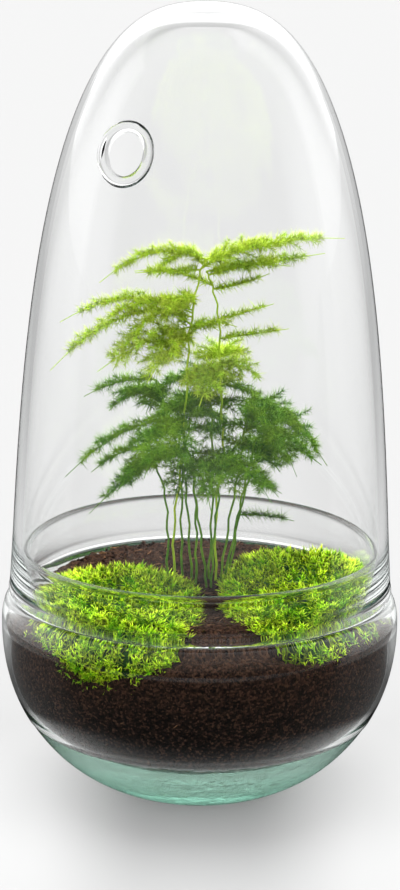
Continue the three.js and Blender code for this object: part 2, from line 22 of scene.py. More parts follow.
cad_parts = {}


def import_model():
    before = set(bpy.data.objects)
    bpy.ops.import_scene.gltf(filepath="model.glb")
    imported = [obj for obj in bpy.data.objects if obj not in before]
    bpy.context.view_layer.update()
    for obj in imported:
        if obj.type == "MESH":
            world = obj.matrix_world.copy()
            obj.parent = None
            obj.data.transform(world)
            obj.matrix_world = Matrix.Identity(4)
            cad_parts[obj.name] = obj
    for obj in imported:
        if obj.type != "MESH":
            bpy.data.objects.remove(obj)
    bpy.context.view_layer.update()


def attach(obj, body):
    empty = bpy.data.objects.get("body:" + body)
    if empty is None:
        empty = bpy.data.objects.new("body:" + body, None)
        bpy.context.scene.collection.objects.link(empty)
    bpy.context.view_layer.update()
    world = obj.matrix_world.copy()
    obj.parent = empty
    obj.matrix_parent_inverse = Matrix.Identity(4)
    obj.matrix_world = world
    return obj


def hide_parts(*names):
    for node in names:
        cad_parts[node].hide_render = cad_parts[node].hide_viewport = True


LOG = logging.getLogger("terrarium")
BODY = "root"
FULL_TURN = 2 * math.pi


def mm(value: float) -> float:
    """Returns millimetres as metres."""
    return value / 1000


def linear(hex_colour: str) -> tuple[float, float, float, float]:
    """Turns an sRGB hex colour to linear light.

    Args:
        hex_colour: Six hex digits, such as "8fb35a".

    Returns:
        Red, green, blue and an alpha of 1.
    """
    parts = [int(hex_colour[i : i + 2], 16) / 255 for i in (0, 2, 4)]
    red, green, blue = (p / 12.92 if p <= 0.04045 else ((p + 0.055) / 1.055) ** 2.4 for p in parts)
    return red, green, blue, 1.0


def smooth_step(value: float) -> float:
    """Returns a soft step from 0 to 1."""
    t = min(max(value, 0.0), 1.0)
    return t * t * (3 - 2 * t)


# Node trees

def add_node(tree: bpy.types.NodeTree, kind: str, settings: dict[str, Any] | None = None,
             inputs: dict[str | int, Any] | None = None,
             stops: Sequence[tuple[float, str]] = ()) -> bpy.types.Node:
    """Adds a node with its settings, socket values and links.

    Args:
        tree: The tree that takes the node.
        kind: The node's type, such as "ShaderNodeTexNoise".
        settings: Properties of the node itself.
        inputs: For each input's name or place, a value, or an output socket that is linked to it.
        stops: On a colour ramp, the places from 0 to 1, each with its sRGB hex colour.

    Returns:
        The new node.
    """
    node = tree.nodes.new(kind)
    for name, value in (settings or {}).items():
        setattr(node, name, value)
    for name, value in (inputs or {}).items():
        if isinstance(value, bpy.types.NodeSocket):
            tree.links.new(value, node.inputs[name])
        else:
            node.inputs[name].default_value = value
    if stops:
        marks = node.color_ramp.elements
        while len(marks) < len(stops):
            marks.new(1.0)
        for mark, (place, colour) in zip(marks, stops):
            mark.position = place
            mark.color = linear(colour)
    return node


def fresh_material(name: str) -> tuple[bpy.types.Material, bpy.types.NodeTree]:
    """Returns a new material and its empty node tree."""
    material = bpy.data.materials.new(name)
    material.use_nodes = True
    material.node_tree.nodes.clear()
    return material, material.node_tree


@dataclass(frozen=True)
class Fade:
    """A soft change from one value to another.

    Attributes:
        near: The measure at which it starts.
        far: The measure at which it ends.
        start: The value up to there, or a socket that gives it.
        end: The value from there on.
    """

    near: float
    far: float
    start: float | bpy.types.NodeSocket
    end: float


def faded(tree: bpy.types.NodeTree, *fades: tuple[Fade, bpy.types.NodeSocket]) -> bpy.types.NodeSocket:
    """Adds the nodes of several fades that weaken one another.

    Args:
        tree: The tree that takes them.
        fades: The fades, each with the measure that it goes over.

    Returns:
        The socket of their product.
    """
    left = None
    for fade, measure in fades:
        value = add_node(tree, "ShaderNodeMapRange", {"interpolation_type": "SMOOTHSTEP"}, {
            "Value": measure, "From Min": fade.near, "From Max": fade.far, "To Min": fade.start,
            "To Max": fade.end}).outputs[0]
        left = value if left is None else add_node(tree, "ShaderNodeMath", {"operation": "MULTIPLY"}, {
            0: left, 1: value}).outputs[0]
    return left


# Finishes

@dataclass(frozen=True)
class BlownGlass:
    """Clear soda-lime glass, blown and fire polished: perfectly smooth, green only where it is thick.

    Attributes:
        name: The material's name.
        cast: The colour that thick glass keeps.
        density: How fast the other colours are lost, per metre of glass.
        thick_tint: The tint of the thick base, or "" for glass with no such base.
        tint_top_mm: The height at which that tint has gone.
        ripple_mm: Spacing of the faint ripples in the thick base, in millimetres.
        ripple_depth_mm: Their depth, in millimetres.
    """

    name: str
    cast: str
    density: float
    thick_tint: str = ""
    tint_top_mm: float = 34.0
    ripple_mm: float = 7.0
    ripple_depth_mm: float = 1.2

    def material(self) -> bpy.types.Material:
        """Returns the glass, which lets the lamps' light through to what stands behind it."""
        material, tree = fresh_material(self.name)
        shader = add_node(tree, "ShaderNodeBsdfPrincipled", inputs={
            "Base Color": (1, 1, 1, 1), "Roughness": 0.0, "IOR": 1.5, "Transmission Weight": 1.0})
        if self.thick_tint:
            self.tint_base(tree, shader)
        lamps = add_node(tree, "ShaderNodeLightPath")
        clear = add_node(tree, "ShaderNodeBsdfTransparent", inputs={"Color": (0.94, 0.95, 0.945, 1)})
        mix = add_node(tree, "ShaderNodeMixShader", inputs={
            0: lamps.outputs["Is Shadow Ray"], 1: shader.outputs[0], 2: clear.outputs[0]})
        cast = add_node(tree, "ShaderNodeVolumeAbsorption", inputs={
            "Color": linear(self.cast), "Density": self.density})
        add_node(tree, "ShaderNodeOutputMaterial", inputs={
            "Surface": mix.outputs[0], "Volume": cast.outputs[0]})
        return material

    def tint_base(self, tree: bpy.types.NodeTree, shader: bpy.types.Node) -> None:
        """Tints the thick base and ripples it, as glass poured into a mould is.

        Args:
            tree: The material's tree.
            shader: The glass shader.
        """
        place = add_node(tree, "ShaderNodeTexCoord").outputs["Object"]
        height = add_node(tree, "ShaderNodeSeparateXYZ", inputs={0: place}).outputs["Z"]
        clearing = faded(tree, (Fade(mm(6), mm(self.tint_top_mm), 0.0, 1.0), height))
        tint = add_node(tree, "ShaderNodeValToRGB", inputs={"Fac": clearing}, stops=[
            (0.0, self.thick_tint), (0.62, "dcebe5"), (1.0, "ffffff")])
        tree.links.new(tint.outputs["Color"], shader.inputs["Base Color"])
        stretch = add_node(tree, "ShaderNodeMapping", inputs={"Vector": place, "Scale": (1, 1, 3.2)})
        waves = add_node(tree, "ShaderNodeTexNoise", inputs={
            "Vector": stretch.outputs[0], "Scale": 1 / mm(self.ripple_mm), "Detail": 2.0, "Roughness": 0.5})
        rest = add_node(tree, "ShaderNodeMath", {"operation": "SUBTRACT", "use_clamp": True}, {
            0: 1.0, 1: clearing})
        ripples = add_node(tree, "ShaderNodeMath", {"operation": "MULTIPLY"}, {
            0: waves.outputs[0], 1: rest.outputs[0]})
        bump = add_node(tree, "ShaderNodeBump", inputs={
            "Strength": 0.55, "Distance": mm(self.ripple_depth_mm), "Height": ripples.outputs[0]})
        tree.links.new(bump.outputs[0], shader.inputs["Normal"])


@dataclass(frozen=True)
class Foliage:
    """Living green leaf with a thin waxy skin: matte, paler and yellower towards the tips, and darker at its
    root, which is partly the leaf's own colour and partly painted shade where the leaves crowd.

    Attributes:
        name: The material's name.
        root_with_painted_shade: Hex colour of the leaf near its base, partly its own darker colour and
            partly
        painted shade.
        body: Hex colour of its middle.
        tip: Hex colour of its tip.
        patch_mm: Size of the patches that are greener or yellower, in millimetres.
        patch: Hex colour of those patches.
        patch_share: How strong the patches are.
        tone_range: How much lighter or darker one tuft of leaves is than the next.
    """

    name: str
    root_with_painted_shade: str
    body: str
    tip: str
    patch_mm: float
    patch: str
    patch_share: float = 0.5
    tone_range: float = 0.35

    def material(self) -> bpy.types.Material:
        """Returns the leaf's material, which reads the leaves' own tip attribute."""
        material, tree = fresh_material(self.name)
        place = add_node(tree, "ShaderNodeTexCoord").outputs["Object"]
        tip = add_node(tree, "ShaderNodeAttribute", {"attribute_name": TIP}).outputs["Fac"]
        # Darker at each leaf's root, partly painted shade where the leaves crowd, and paler towards its tip
        along = add_node(tree, "ShaderNodeValToRGB", inputs={"Fac": tip}, stops=[
            (0.0, self.root_with_painted_shade), (0.45, self.body), (1.0, self.tip)]).outputs["Color"]
        cloud = add_node(tree, "ShaderNodeTexNoise", inputs={
            "Vector": place, "Scale": 1 / mm(self.patch_mm), "Detail": 3.0, "Roughness": 0.6})
        share = add_node(tree, "ShaderNodeMapRange", inputs={
            "Value": cloud.outputs[0], "From Min": 0.42, "From Max": 0.68, "To Min": 0.0,
            "To Max": self.patch_share})
        blend = add_node(tree, "ShaderNodeMix", {"data_type": "RGBA"}, {
            "Factor": share.outputs[0], 6: along, 7: linear(self.patch)})
        tone = add_node(tree, "ShaderNodeMapRange", inputs={
            "Value": add_node(tree, "ShaderNodeAttribute", {"attribute_name": TONE}).outputs["Fac"],
            "From Min": 0.0, "From Max": 1.0, "To Min": 1 - self.tone_range, "To Max": 1 + self.tone_range})
        shade = add_node(tree, "ShaderNodeVectorMath", {"operation": "SCALE"}, {
            0: blend.outputs[2], "Scale": tone.outputs[0]})
        shader = add_node(tree, "ShaderNodeBsdfPrincipled", inputs={
            "Base Color": shade.outputs[0], "Roughness": 0.6, "IOR": 1.42, "Specular IOR Level": 0.1})
        add_node(tree, "ShaderNodeOutputMaterial", inputs={"Surface": shader.outputs[0]})
        return material


@dataclass(frozen=True)
class Compost:
    """Moist peaty compost: nearly black below, red-brown where it dries at the top, full of fine crumbs.

    Attributes:
        name: The material's name.
        dry: Hex colours of the drier crumbs at the top, dark to light.
        wet: Hex colours of the wet compost lower down, dark to light.
        crumb_mm: Size of the crumbs, in millimetres.
        clod_mm: Size of the drier and wetter patches, in millimetres.
        wet_below_mm: The height under which all of it is wet.
        dry_above_mm: The height above which all of it is dry.
    """

    name: str
    dry: tuple[str, str, str]
    wet: tuple[str, str, str]
    crumb_mm: float
    clod_mm: float = 9.0
    wet_below_mm: float = 44.0
    dry_above_mm: float = 82.0

    def material(self) -> bpy.types.Material:
        """Returns the compost's material."""
        material, tree = fresh_material(self.name)
        place = add_node(tree, "ShaderNodeTexCoord").outputs["Object"]
        height = add_node(tree, "ShaderNodeSeparateXYZ", inputs={0: place}).outputs["Z"]
        crumbs = add_node(tree, "ShaderNodeTexVoronoi", inputs={
            "Vector": place, "Scale": 1 / mm(self.crumb_mm), "Randomness": 1.0})
        grain = add_node(tree, "ShaderNodeTexNoise", inputs={
            "Vector": place, "Scale": 1 / mm(self.crumb_mm * 0.6), "Detail": 3.0, "Roughness": 0.65})
        clods = add_node(tree, "ShaderNodeTexNoise", inputs={
            "Vector": place, "Scale": 1 / mm(self.clod_mm), "Detail": 3.0, "Roughness": 0.55})
        tone = add_node(tree, "ShaderNodeSeparateColor", inputs={0: crumbs.outputs["Color"]}).outputs[0]
        mixed = add_node(tree, "ShaderNodeMath", {"operation": "MULTIPLY_ADD"}, {
            0: tone, 1: 0.55, 2: add_node(tree, "ShaderNodeMath", {"operation": "MULTIPLY"}, {
                0: grain.outputs[0], 1: 0.62}).outputs[0]})
        dry, wet = (add_node(tree, "ShaderNodeValToRGB", inputs={"Fac": mixed.outputs[0]},
                             stops=list(zip(places, colours))).outputs["Color"]
                    for places, colours in (((0.25, 0.55, 0.95), self.dry), ((0.34, 0.7, 1.0), self.wet)))
        level = faded(tree, (Fade(mm(self.wet_below_mm), mm(self.dry_above_mm), 0.0, 1.0), height))
        drift = add_node(tree, "ShaderNodeMath", {"operation": "MULTIPLY_ADD", "use_clamp": True}, {
            0: clods.outputs[0], 1: 0.9, 2: -0.45})
        dryness = add_node(tree, "ShaderNodeMath", {"operation": "ADD", "use_clamp": True}, {
            0: level, 1: drift.outputs[0]})
        colour = add_node(tree, "ShaderNodeMix", {"data_type": "RGBA"}, {
            "Factor": dryness.outputs[0], 6: wet, 7: dry})
        relief = add_node(tree, "ShaderNodeMath", {"operation": "SUBTRACT"}, {
            0: grain.outputs[0], 1: crumbs.outputs["Distance"]})
        bump = add_node(tree, "ShaderNodeBump", inputs={
            "Strength": 0.9, "Distance": mm(0.7), "Height": relief.outputs[0]})
        shader = add_node(tree, "ShaderNodeBsdfPrincipled", inputs={
            "Base Color": colour.outputs[2], "Roughness": 0.88, "Specular IOR Level": 0.15,
            "Normal": bump.outputs[0]})
        add_node(tree, "ShaderNodeOutputMaterial", inputs={"Surface": shader.outputs[0]})
        return material


@dataclass(frozen=True)
class LitCard:
    """Pale matte card that glows a little by itself, as if lit from below, so the shadow on it stays light.

    Its glow is lower right before the terrarium, as painted shade, and higher at its sides, as painted
    light.
    Through glass it glows as a white table does, but with painted shade round the front and the sides of the
    terrarium, where the glass would mirror it, and a painted pool of light under the thick base. The fades
    are over the distance back, to the side or all round.

    Attributes:
        name: The material's name.
        colour: Hex colour of the card.
        lift: How bright it is by itself.
        painted_shade_light_near: How much less that is right before the terrarium, as painted shade, and
            more at its sides, as painted light.
        painted_shade_light_aside: Where that painted shade and light ends at the sides.
        painted_shade_light_front: Where it ends in front.
        painted_shade_light_back: Where it ends behind.
        behind: How bright it is through glass, near in front of the terrarium and behind it, with painted
            shade
        in front.
        far_front: How bright it is through glass far out in front.
        sides: The share of that light far out at the sides.
        ring: The share of it lost in a ring round the terrarium, as painted shade.
        ring_back: Where the ring ends behind.
        ring_end: Where the ring ends all round.
        painted_light_pool: The painted pool of light added right under the thick base.
    """

    name: str
    colour: str
    lift: float
    # Painted shade right before the terrarium and painted light at its sides, on the card's own glow
    painted_shade_light_near: Fade = Fade(mm(20), mm(75), -0.12, 0.17)
    painted_shade_light_aside: Fade = Fade(mm(85), mm(240), 1.0, 0.0)
    painted_shade_light_front: Fade = Fade(mm(-240), mm(-60), 0.0, 1.0)
    painted_shade_light_back: Fade = Fade(mm(-20), mm(90), 1.0, 0.0)
    # Brightness through glass, with painted shade in front, in a ring round the terrarium, and a painted
    # pool of light
    behind: Fade = Fade(mm(-110), mm(-30), 0.05, 0.95)
    far_front: Fade = Fade(mm(-560), mm(-280), 0.646, 0.0)
    sides: Fade = Fade(mm(200), mm(520), 1.0, 0.65)
    ring: Fade = Fade(mm(95), mm(125), 0.0, 0.85)
    ring_back: Fade = Fade(mm(130), mm(330), 1.0, 0.0)
    ring_end: Fade = Fade(mm(300), mm(480), 1.0, 0.0)
    painted_light_pool: Fade = Fade(mm(60), mm(88), 1.1, 0.0)

    def material(self) -> bpy.types.Material:
        """Returns the card's material."""
        material, tree = fresh_material(self.name)
        place = add_node(tree, "ShaderNodeTexCoord").outputs["Object"]
        parts = add_node(tree, "ShaderNodeSeparateXYZ", inputs={0: place}).outputs
        back = parts["Y"]
        aside = add_node(tree, "ShaderNodeMath", {"operation": "ABSOLUTE"}, {0: parts["X"]}).outputs[0]
        # The card's own glow, with painted shade before the terrarium and painted light at its sides
        change = faded(tree, (self.painted_shade_light_near, aside), (self.painted_shade_light_aside, aside), (self.painted_shade_light_front, back),
                       (self.painted_shade_light_back, back))
        own = add_node(tree, "ShaderNodeMath", {"operation": "ADD"}, {0: change, 1: self.lift})
        card = add_node(tree, "ShaderNodeBsdfPrincipled", inputs={
            "Base Color": linear(self.colour), "Roughness": 0.95, "Specular IOR Level": 0.1,
            "Emission Color": (1, 1, 1, 1), "Emission Strength": own.outputs[0]})
        light = add_node(tree, "ShaderNodeEmission", inputs={
            "Color": (1, 1, 1, 1), "Strength": self.painted_light_through_glass(tree, place, back, aside)})
        rays = add_node(tree, "ShaderNodeLightPath").outputs["Is Transmission Ray"]
        mix = add_node(tree, "ShaderNodeMixShader", inputs={
            0: rays, 1: card.outputs[0], 2: light.outputs[0]})
        add_node(tree, "ShaderNodeOutputMaterial", inputs={"Surface": mix.outputs[0]})
        return material

    def painted_light_through_glass(self, tree: bpy.types.NodeTree, place: bpy.types.NodeSocket,
                            back: bpy.types.NodeSocket, aside: bpy.types.NodeSocket) -> bpy.types.NodeSocket:
        """Adds nodes for how bright the card is through glass, with its painted shade and painted pool of
        light.

        Args:
            tree: The material's tree.
            place: The place on the card.
            back: How far back it is.
            aside: How far to the side it is.

        Returns:
            The brightness.
        """
        away = add_node(tree, "ShaderNodeVectorMath", {"operation": "LENGTH"}, {0: place}).outputs["Value"]
        glow = add_node(tree, "ShaderNodeMath", {"operation": "MAXIMUM"}, {
            0: faded(tree, (self.behind, back)), 1: faded(tree, (self.far_front, back))})
        light = add_node(tree, "ShaderNodeMath", {"operation": "MULTIPLY"}, {
            0: glow.outputs[0], 1: faded(tree, (self.sides, aside))})
        # Painted shade in a ring round the terrarium
        ring = faded(tree, (self.ring, away), (self.ring_back, back), (self.ring_end, away))
        left = add_node(tree, "ShaderNodeMath", {"operation": "SUBTRACT"}, {0: 1.0, 1: ring})
        # Painted pool of light under the thick base
        return add_node(tree, "ShaderNodeMath", {"operation": "MULTIPLY_ADD"}, {
            0: light.outputs[0], 1: left.outputs[0], 2: faded(tree, (self.painted_light_pool, away))}).outputs[0]


TIP = "tip"
TONE = "tone"
BOWL_GLASS = BlownGlass("soda_lime_glass_thick_base", "84dcc0", 4.0, "b8f2de")
DOME_GLASS = BlownGlass("clear_blown_glass", "e9f2ef", 10.0)
# The first colour of each foliage, at the leaves' roots, is partly painted shade
YOUNG_NEEDLES = Foliage("young_fern_needles", "98c02c", "cadf42", "dcea72", 16, "a0d040")
GROWN_NEEDLES = Foliage("grown_fern_needles", "40701c", "60942a", "90c04a", 13, "a6c838")
MOSS_LEAVES = Foliage("cushion_moss_leaves", "2a6004", "c2e618", "f8ff5c", 9, "46a808", 0.8, 0.6)
SOIL = Compost("peaty_compost", ("0a0605", "2a1a13", "5c4030"), ("050404", "1f1510", "6e5040"), 0.9)
ROOT_FIBRES = Foliage("dry_root_fibres", "6b3b25", "9a6542", "cfae86", 6, "7c4a2c")
# The table glows evenly, with painted shade and painted light round the terrarium
TABLE = LitCard("pale_card_with_painted_light_and_shade", "565656", 0.3)


# Mesh helpers

def smooth_object(name: str, mesh: bmesh.types.BMesh, material: bpy.types.Material,
                  nodes: Iterable[str] = ()) -> bpy.types.Object:
    """Makes a finished piece of a bmesh, which it frees, and lets it ride on the terrarium's one body.

    Args:
        name: The piece's name.
        mesh: Its shape, in the frame.
        material: Its finish.
        nodes: The nodes of the model that it stands for.

    Returns:
        The new object, at the origin.
    """
    data = bpy.data.meshes.new(name)
    mesh.to_mesh(data)
    mesh.free()
    data.materials.clear()
    data.materials.append(material)
    data.polygons.foreach_set("material_index", [0] * len(data.polygons))
    data.polygons.foreach_set("use_smooth", [True] * len(data.polygons))
    data.update()
    piece = bpy.data.objects.new(name, data)
    bpy.context.scene.collection.objects.link(piece)
    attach(piece, BODY)
    if nodes:
        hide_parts(*nodes)
    return piece


def turned(profile: Sequence[tuple[float, float]], steps: int) -> bmesh.types.BMesh:
    """Spins a closed profile round the upright axis.

    Args:
        profile: Radius and height of each point, in millimetres. The last joins the first, unless both are
            on the axis.
        steps: Facets in the full turn.

    Returns:
        The closed shape, its faces looking outwards.
    """
    mesh = bmesh.new()
    points = [mesh.verts.new((mm(radius), 0, mm(height))) for radius, height in profile]
    edges = [mesh.edges.new(pair) for pair in zip(points, points[1:])]
    if profile[0][0] or profile[-1][0]:
        edges.append(mesh.edges.new((points[-1], points[0])))
    bmesh.ops.spin(mesh, geom=[*points, *edges], cent=(0, 0, 0), axis=(0, 0, 1), dvec=(0, 0, 0),
                   angle=FULL_TURN, steps=steps, use_merge=True, use_duplicate=False)
    bmesh.ops.remove_doubles(mesh, verts=mesh.verts, dist=mm(0.01))
    bmesh.ops.dissolve_degenerate(mesh, edges=mesh.edges, dist=mm(0.005))
    bmesh.ops.recalc_face_normals(mesh, faces=mesh.faces)
    return mesh


@dataclass
class Stamp:
    """A small shape that is pressed many times into a larger mesh."""

    mesh: bpy.types.Mesh

    @classmethod
    def of(cls, name: str, shape: bmesh.types.BMesh) -> "Stamp":
        """Makes a stamp of a bmesh, which it frees."""
        mesh = bpy.data.meshes.new(name)
        shape.to_mesh(mesh)
        shape.free()
        return cls(mesh)

    def press(self, target: bmesh.types.BMesh, place: Matrix) -> None:
        """Adds a copy of the shape to a bmesh.

        Args:
            target: The bmesh that takes the copy.
            place: Where the copy goes, how it is turned and how large it is.
        """
        copy = self.mesh.copy()
        copy.transform(place)
        target.from_mesh(copy)
        bpy.data.meshes.remove(copy)


def facing(direction: Vector, roll: float = 0.0) -> Matrix:
    """Returns the turn that takes +Z to a direction, after a roll about +Z."""
    return direction.to_track_quat("Z", "Y").to_matrix().to_4x4() @ Matrix.Rotation(roll, 4, "Z")


def leaning(lean: float, turn: float) -> Vector:
    """Returns the direction that leans from +Z by one angle, towards another angle round it, in radians."""
    return Vector((math.sin(lean) * math.cos(turn), math.sin(lean) * math.sin(turn), math.cos(lean)))


def leaf_layers(shape: bmesh.types.BMesh) -> tuple[Any, Any]:
    """Returns a bmesh's layers for how near a point is to its leaf's tip, and for the tone of its tuft."""
    layers = shape.verts.layers.float
    for name in (TIP, TONE):
        if not layers.get(name):
            layers.new(name)
    return layers.get(TIP), layers.get(TONE)


def needle(length: float, width: float, sides: int = 3, base_tip: float = 0.0) -> Stamp:
    """Makes a needle that stands on the origin.

    Args:
        length: Its length in millimetres.
        width: Its width at the root in millimetres.
        sides: How many faces it has round.
        base_tip: The tip attribute at its root.

    Returns:
        The needle's stamp.
    """
    shape = bmesh.new()
    bmesh.ops.create_cone(shape, cap_ends=True, cap_tris=False, segments=sides, radius1=mm(width / 2),
                          radius2=0.0, depth=mm(length), matrix=Matrix.Translation((0, 0, mm(length / 2))))
    tip, tone = leaf_layers(shape)
    for point in shape.verts:
        point[tip] = base_tip + (1 - base_tip) * point.co.z / mm(length)
        point[tone] = 0.5
    return Stamp.of("needle", shape)


def toned(shape: bmesh.types.BMesh, tone: float) -> bmesh.types.BMesh:
    """Gives a whole tuft one tone from 0 to 1, and returns it."""
    layer = leaf_layers(shape)[1]
    for point in shape.verts:
        point[layer] = tone
    return shape


@dataclass
class Track:
    """A smooth path through a few points, measured along its length."""

    points: list[Vector]
    reach: list[float] = field(default_factory=list)

    def __post_init__(self) -> None:
        """Measures the path."""
        self.reach = [0.0]
        for here, after in zip(self.points, self.points[1:]):
            self.reach.append(self.reach[-1] + (after - here).length)

    @classmethod
    def through(cls, marks: Sequence[Vector], per_span: int = 6) -> "Track":
        """Makes a Catmull-Rom path.

        Args:
            marks: The points that it passes.
            per_span: Stretches between two of them.

        Returns:
            The path.
        """
        ends = [2 * marks[0] - marks[1], *marks, 2 * marks[-1] - marks[-2]]
        points = []
        for a, b, c, d in zip(ends, ends[1:], ends[2:], ends[3:]):
            for k in range(per_span):
                t = k / per_span
                points.append(0.5 * (2 * b + (c - a) * t + (2 * a - 5 * b + 4 * c - d) * t * t
                                     + (3 * b - a - 3 * c + d) * t ** 3))
        return cls([*points, marks[-1].copy()])

    @property
    def length(self) -> float:
        """The path's length."""
        return self.reach[-1]

    def at(self, share: float) -> tuple[Vector, Vector]:
        """Returns the point at a share of the path's length, and the direction of the path there."""
        goal = min(max(share, 0.0), 1.0) * self.length
        i = next((k for k, reach in enumerate(self.reach[1:]) if reach >= goal), len(self.points) - 2)
        here, after = self.points[i], self.points[i + 1]
        part = (goal - self.reach[i]) / max(self.reach[i + 1] - self.reach[i], 1e-9)
        return here.lerp(after, part), (after - here).normalized()


@dataclass
class Tubes:
    """Thin round stems and twigs, gathered in one curve and then added to a bmesh."""

    sides: int = 0
    paths: list[tuple[list[Vector], float, float]] = field(default_factory=list)

    def add(self, points: list[Vector], root_mm: float, tip_mm: float) -> None:
        """Adds a twig that thins from one radius to another.

        Args:
            points: The points along its middle.
            root_mm: Its radius at the first point.
            tip_mm: Its radius at the last point.
        """
        self.paths.append((points, root_mm, tip_mm))

    def into(self, target: bmesh.types.BMesh, tip: float) -> None:
        """Adds the twigs to a bmesh.

        Args:
            target: The bmesh that takes them.
            tip: The tip attribute on all of them.
        """
        curve = bpy.data.curves.new("twigs", "CURVE")
        curve.dimensions = "3D"
        curve.bevel_depth = mm(1)
        curve.bevel_resolution = self.sides
        curve.use_fill_caps = True
        curve.resolution_u = 1
        for points, root, end in self.paths:
            spline = curve.splines.new("POLY")
            spline.points.add(len(points) - 1)
            last = len(points) - 1
            for k, (mark, point) in enumerate(zip(spline.points, points)):
                mark.co = (*point, 1)
                mark.radius = root + (end - root) * k / last
        holder = bpy.data.objects.new("twigs", curve)
        bpy.context.scene.collection.objects.link(holder)
        mesh = bpy.data.meshes.new_from_object(holder.evaluated_get(bpy.context.evaluated_depsgraph_get()))
        mesh.materials.clear()
        for name, value in ((TIP, tip), (TONE, 0.5)):
            values = mesh.attributes.new(name, "FLOAT", "POINT")
            values.data.foreach_set("value", [value] * len(mesh.vertices))
        target.from_mesh(mesh)
        bpy.data.objects.remove(holder)
        bpy.data.curves.remove(curve)
        bpy.data.meshes.remove(mesh)


# Glass

# Radius and height: over the shoulder, in along the ledge, up the collar's outside and over its rim
SHOULDER_AND_COLLAR = (
    (89.86, 81.5), (89.5, 84.2), (88.8, 86.8), (87.8, 88.8), (86.6, 90.1), (85.2, 90.8), (83.8, 91.0),
    (82.9, 91.05), (82.0, 91.6), (81.3, 92.5), (81.0, 93.8), (80.95, 108.4), (81.1, 110.0), (81.1, 111.4),
    (80.85, 112.6), (80.3, 113.5), (79.5, 113.95), (78.8, 113.8), (78.15, 113.25),
)
# Radius and height: down the collar's inside and out under the shoulder
COLLAR_INSIDE = (
    (77.8, 112.4), (77.7, 111.2), (77.85, 110.0), (78.2, 108.4), (78.25, 97.0), (79.0, 92.5), (81.6, 88.4),
    (84.6, 83.8),
)


@dataclass
class GlassBowl:
    """The heavy bowl: thick green-cast base, round belly, shoulder with a ledge, and an upright collar.

    Inside and outside follow superellipses, where a squareness of 2 is an ellipse and more is squarer.
    """

    belly_radius: float = 90.0
    belly_height: float = 79.0
    depth: float = 83.7
    squareness: float = 2.2
    inside_radius: float = 85.9
    inside_depth: float = 69.0
    inside_squareness: float = 2.7
    base: float = 10.0
    seam_height: float = 35.0
    seam_blur: float = 1.6
    seam_depth: float = 0.5
    seam_middle: float = 26.0
    seam_spread: float = 16.0
    steps: int = 168
    rows: int = 34

    def outer_radius(self, height: float) -> float:
        """Returns the outside radius at a height below the belly, in millimetres."""
        drop = (self.belly_height - height) / self.depth
        return self.belly_radius * (1 - drop ** self.squareness) ** (1 / self.squareness)

    def inner_radius(self, height: float) -> float:
        """Returns the inside radius at a height below the belly, in millimetres."""
        drop = min((self.belly_height - height) / self.inside_depth, 1.0)
        return self.inside_radius * (1 - drop ** self.inside_squareness) ** (1 / self.inside_squareness)

    @cached_property
    def wall(self) -> list[tuple[float, float]]:
        """The inside of the wall, worked out once."""
        return self.inside()

    def free_radius(self, height: float) -> float:
        """Returns the radius inside the glass at a height between the bottom and the collar's top."""
        spans = zip(self.wall, self.wall[1:])
        above, below = next((pair for pair in spans if pair[0][1] >= height >= pair[1][1]), self.wall[:2])
        share = (above[1] - height) / max(above[1] - below[1], 1e-6)
        return above[0] + (below[0] - above[0]) * share

    def seam(self, height: float) -> float:
        """Returns how far the mould's seam stands back at a height, in millimetres."""
        below = smooth_step((self.seam_height - height) / self.seam_blur)
        return self.seam_depth * below * math.exp(-((height - self.seam_middle) / self.seam_spread) ** 2)

    def outside(self) -> list[tuple[float, float]]:
        """Returns the outside from the middle of the foot to the belly."""
        points = [(0.0, 0.0), (self.outer_radius(0) - 1.2, 0.0)]
        for k in range(1, self.rows * 2 + 1):
            height = self.belly_height * (k / (self.rows * 2)) ** 1.35
            points.append((self.outer_radius(height) - self.seam(height), height))
        return points

    def inside(self) -> list[tuple[float, float]]:
        """Returns the inside from the collar down to the middle of the bottom."""
        points = list(COLLAR_INSIDE)
        for k in range(self.rows + 1):
            share = math.sin(math.pi / 2 * k / self.rows)
            height = self.belly_height - self.inside_depth * share
            points.append((self.inner_radius(height), height))
        points[-1] = (0.0, self.base)
        return points

    def profile(self) -> list[tuple[float, float]]:
        """Returns the whole wall's section, from the foot over the collar to the bottom inside."""
        return [*self.outside(), *SHOULDER_AND_COLLAR, *self.inside()]

    def build(self) -> bpy.types.Object:
        """Makes the bowl."""
        return smooth_object("bowl_of_thick_glass", turned(self.profile(), self.steps),
                             BOWL_GLASS.material(), ["glass_bowl"])


# The dome's fire-polished rim, which swells a little: out from the wall's face, and up from the foot
DOME_RIM = (
    (-4.5, 3.9), (-4.65, 2.7), (-4.5, 1.5), (-3.9, 0.6), (-3.0, 0.1), (-2.1, 0.0), (-1.2, 0.1), (-0.2, 0.6),
    (0.35, 1.5), (0.5, 2.7), (0.3, 3.9),
)


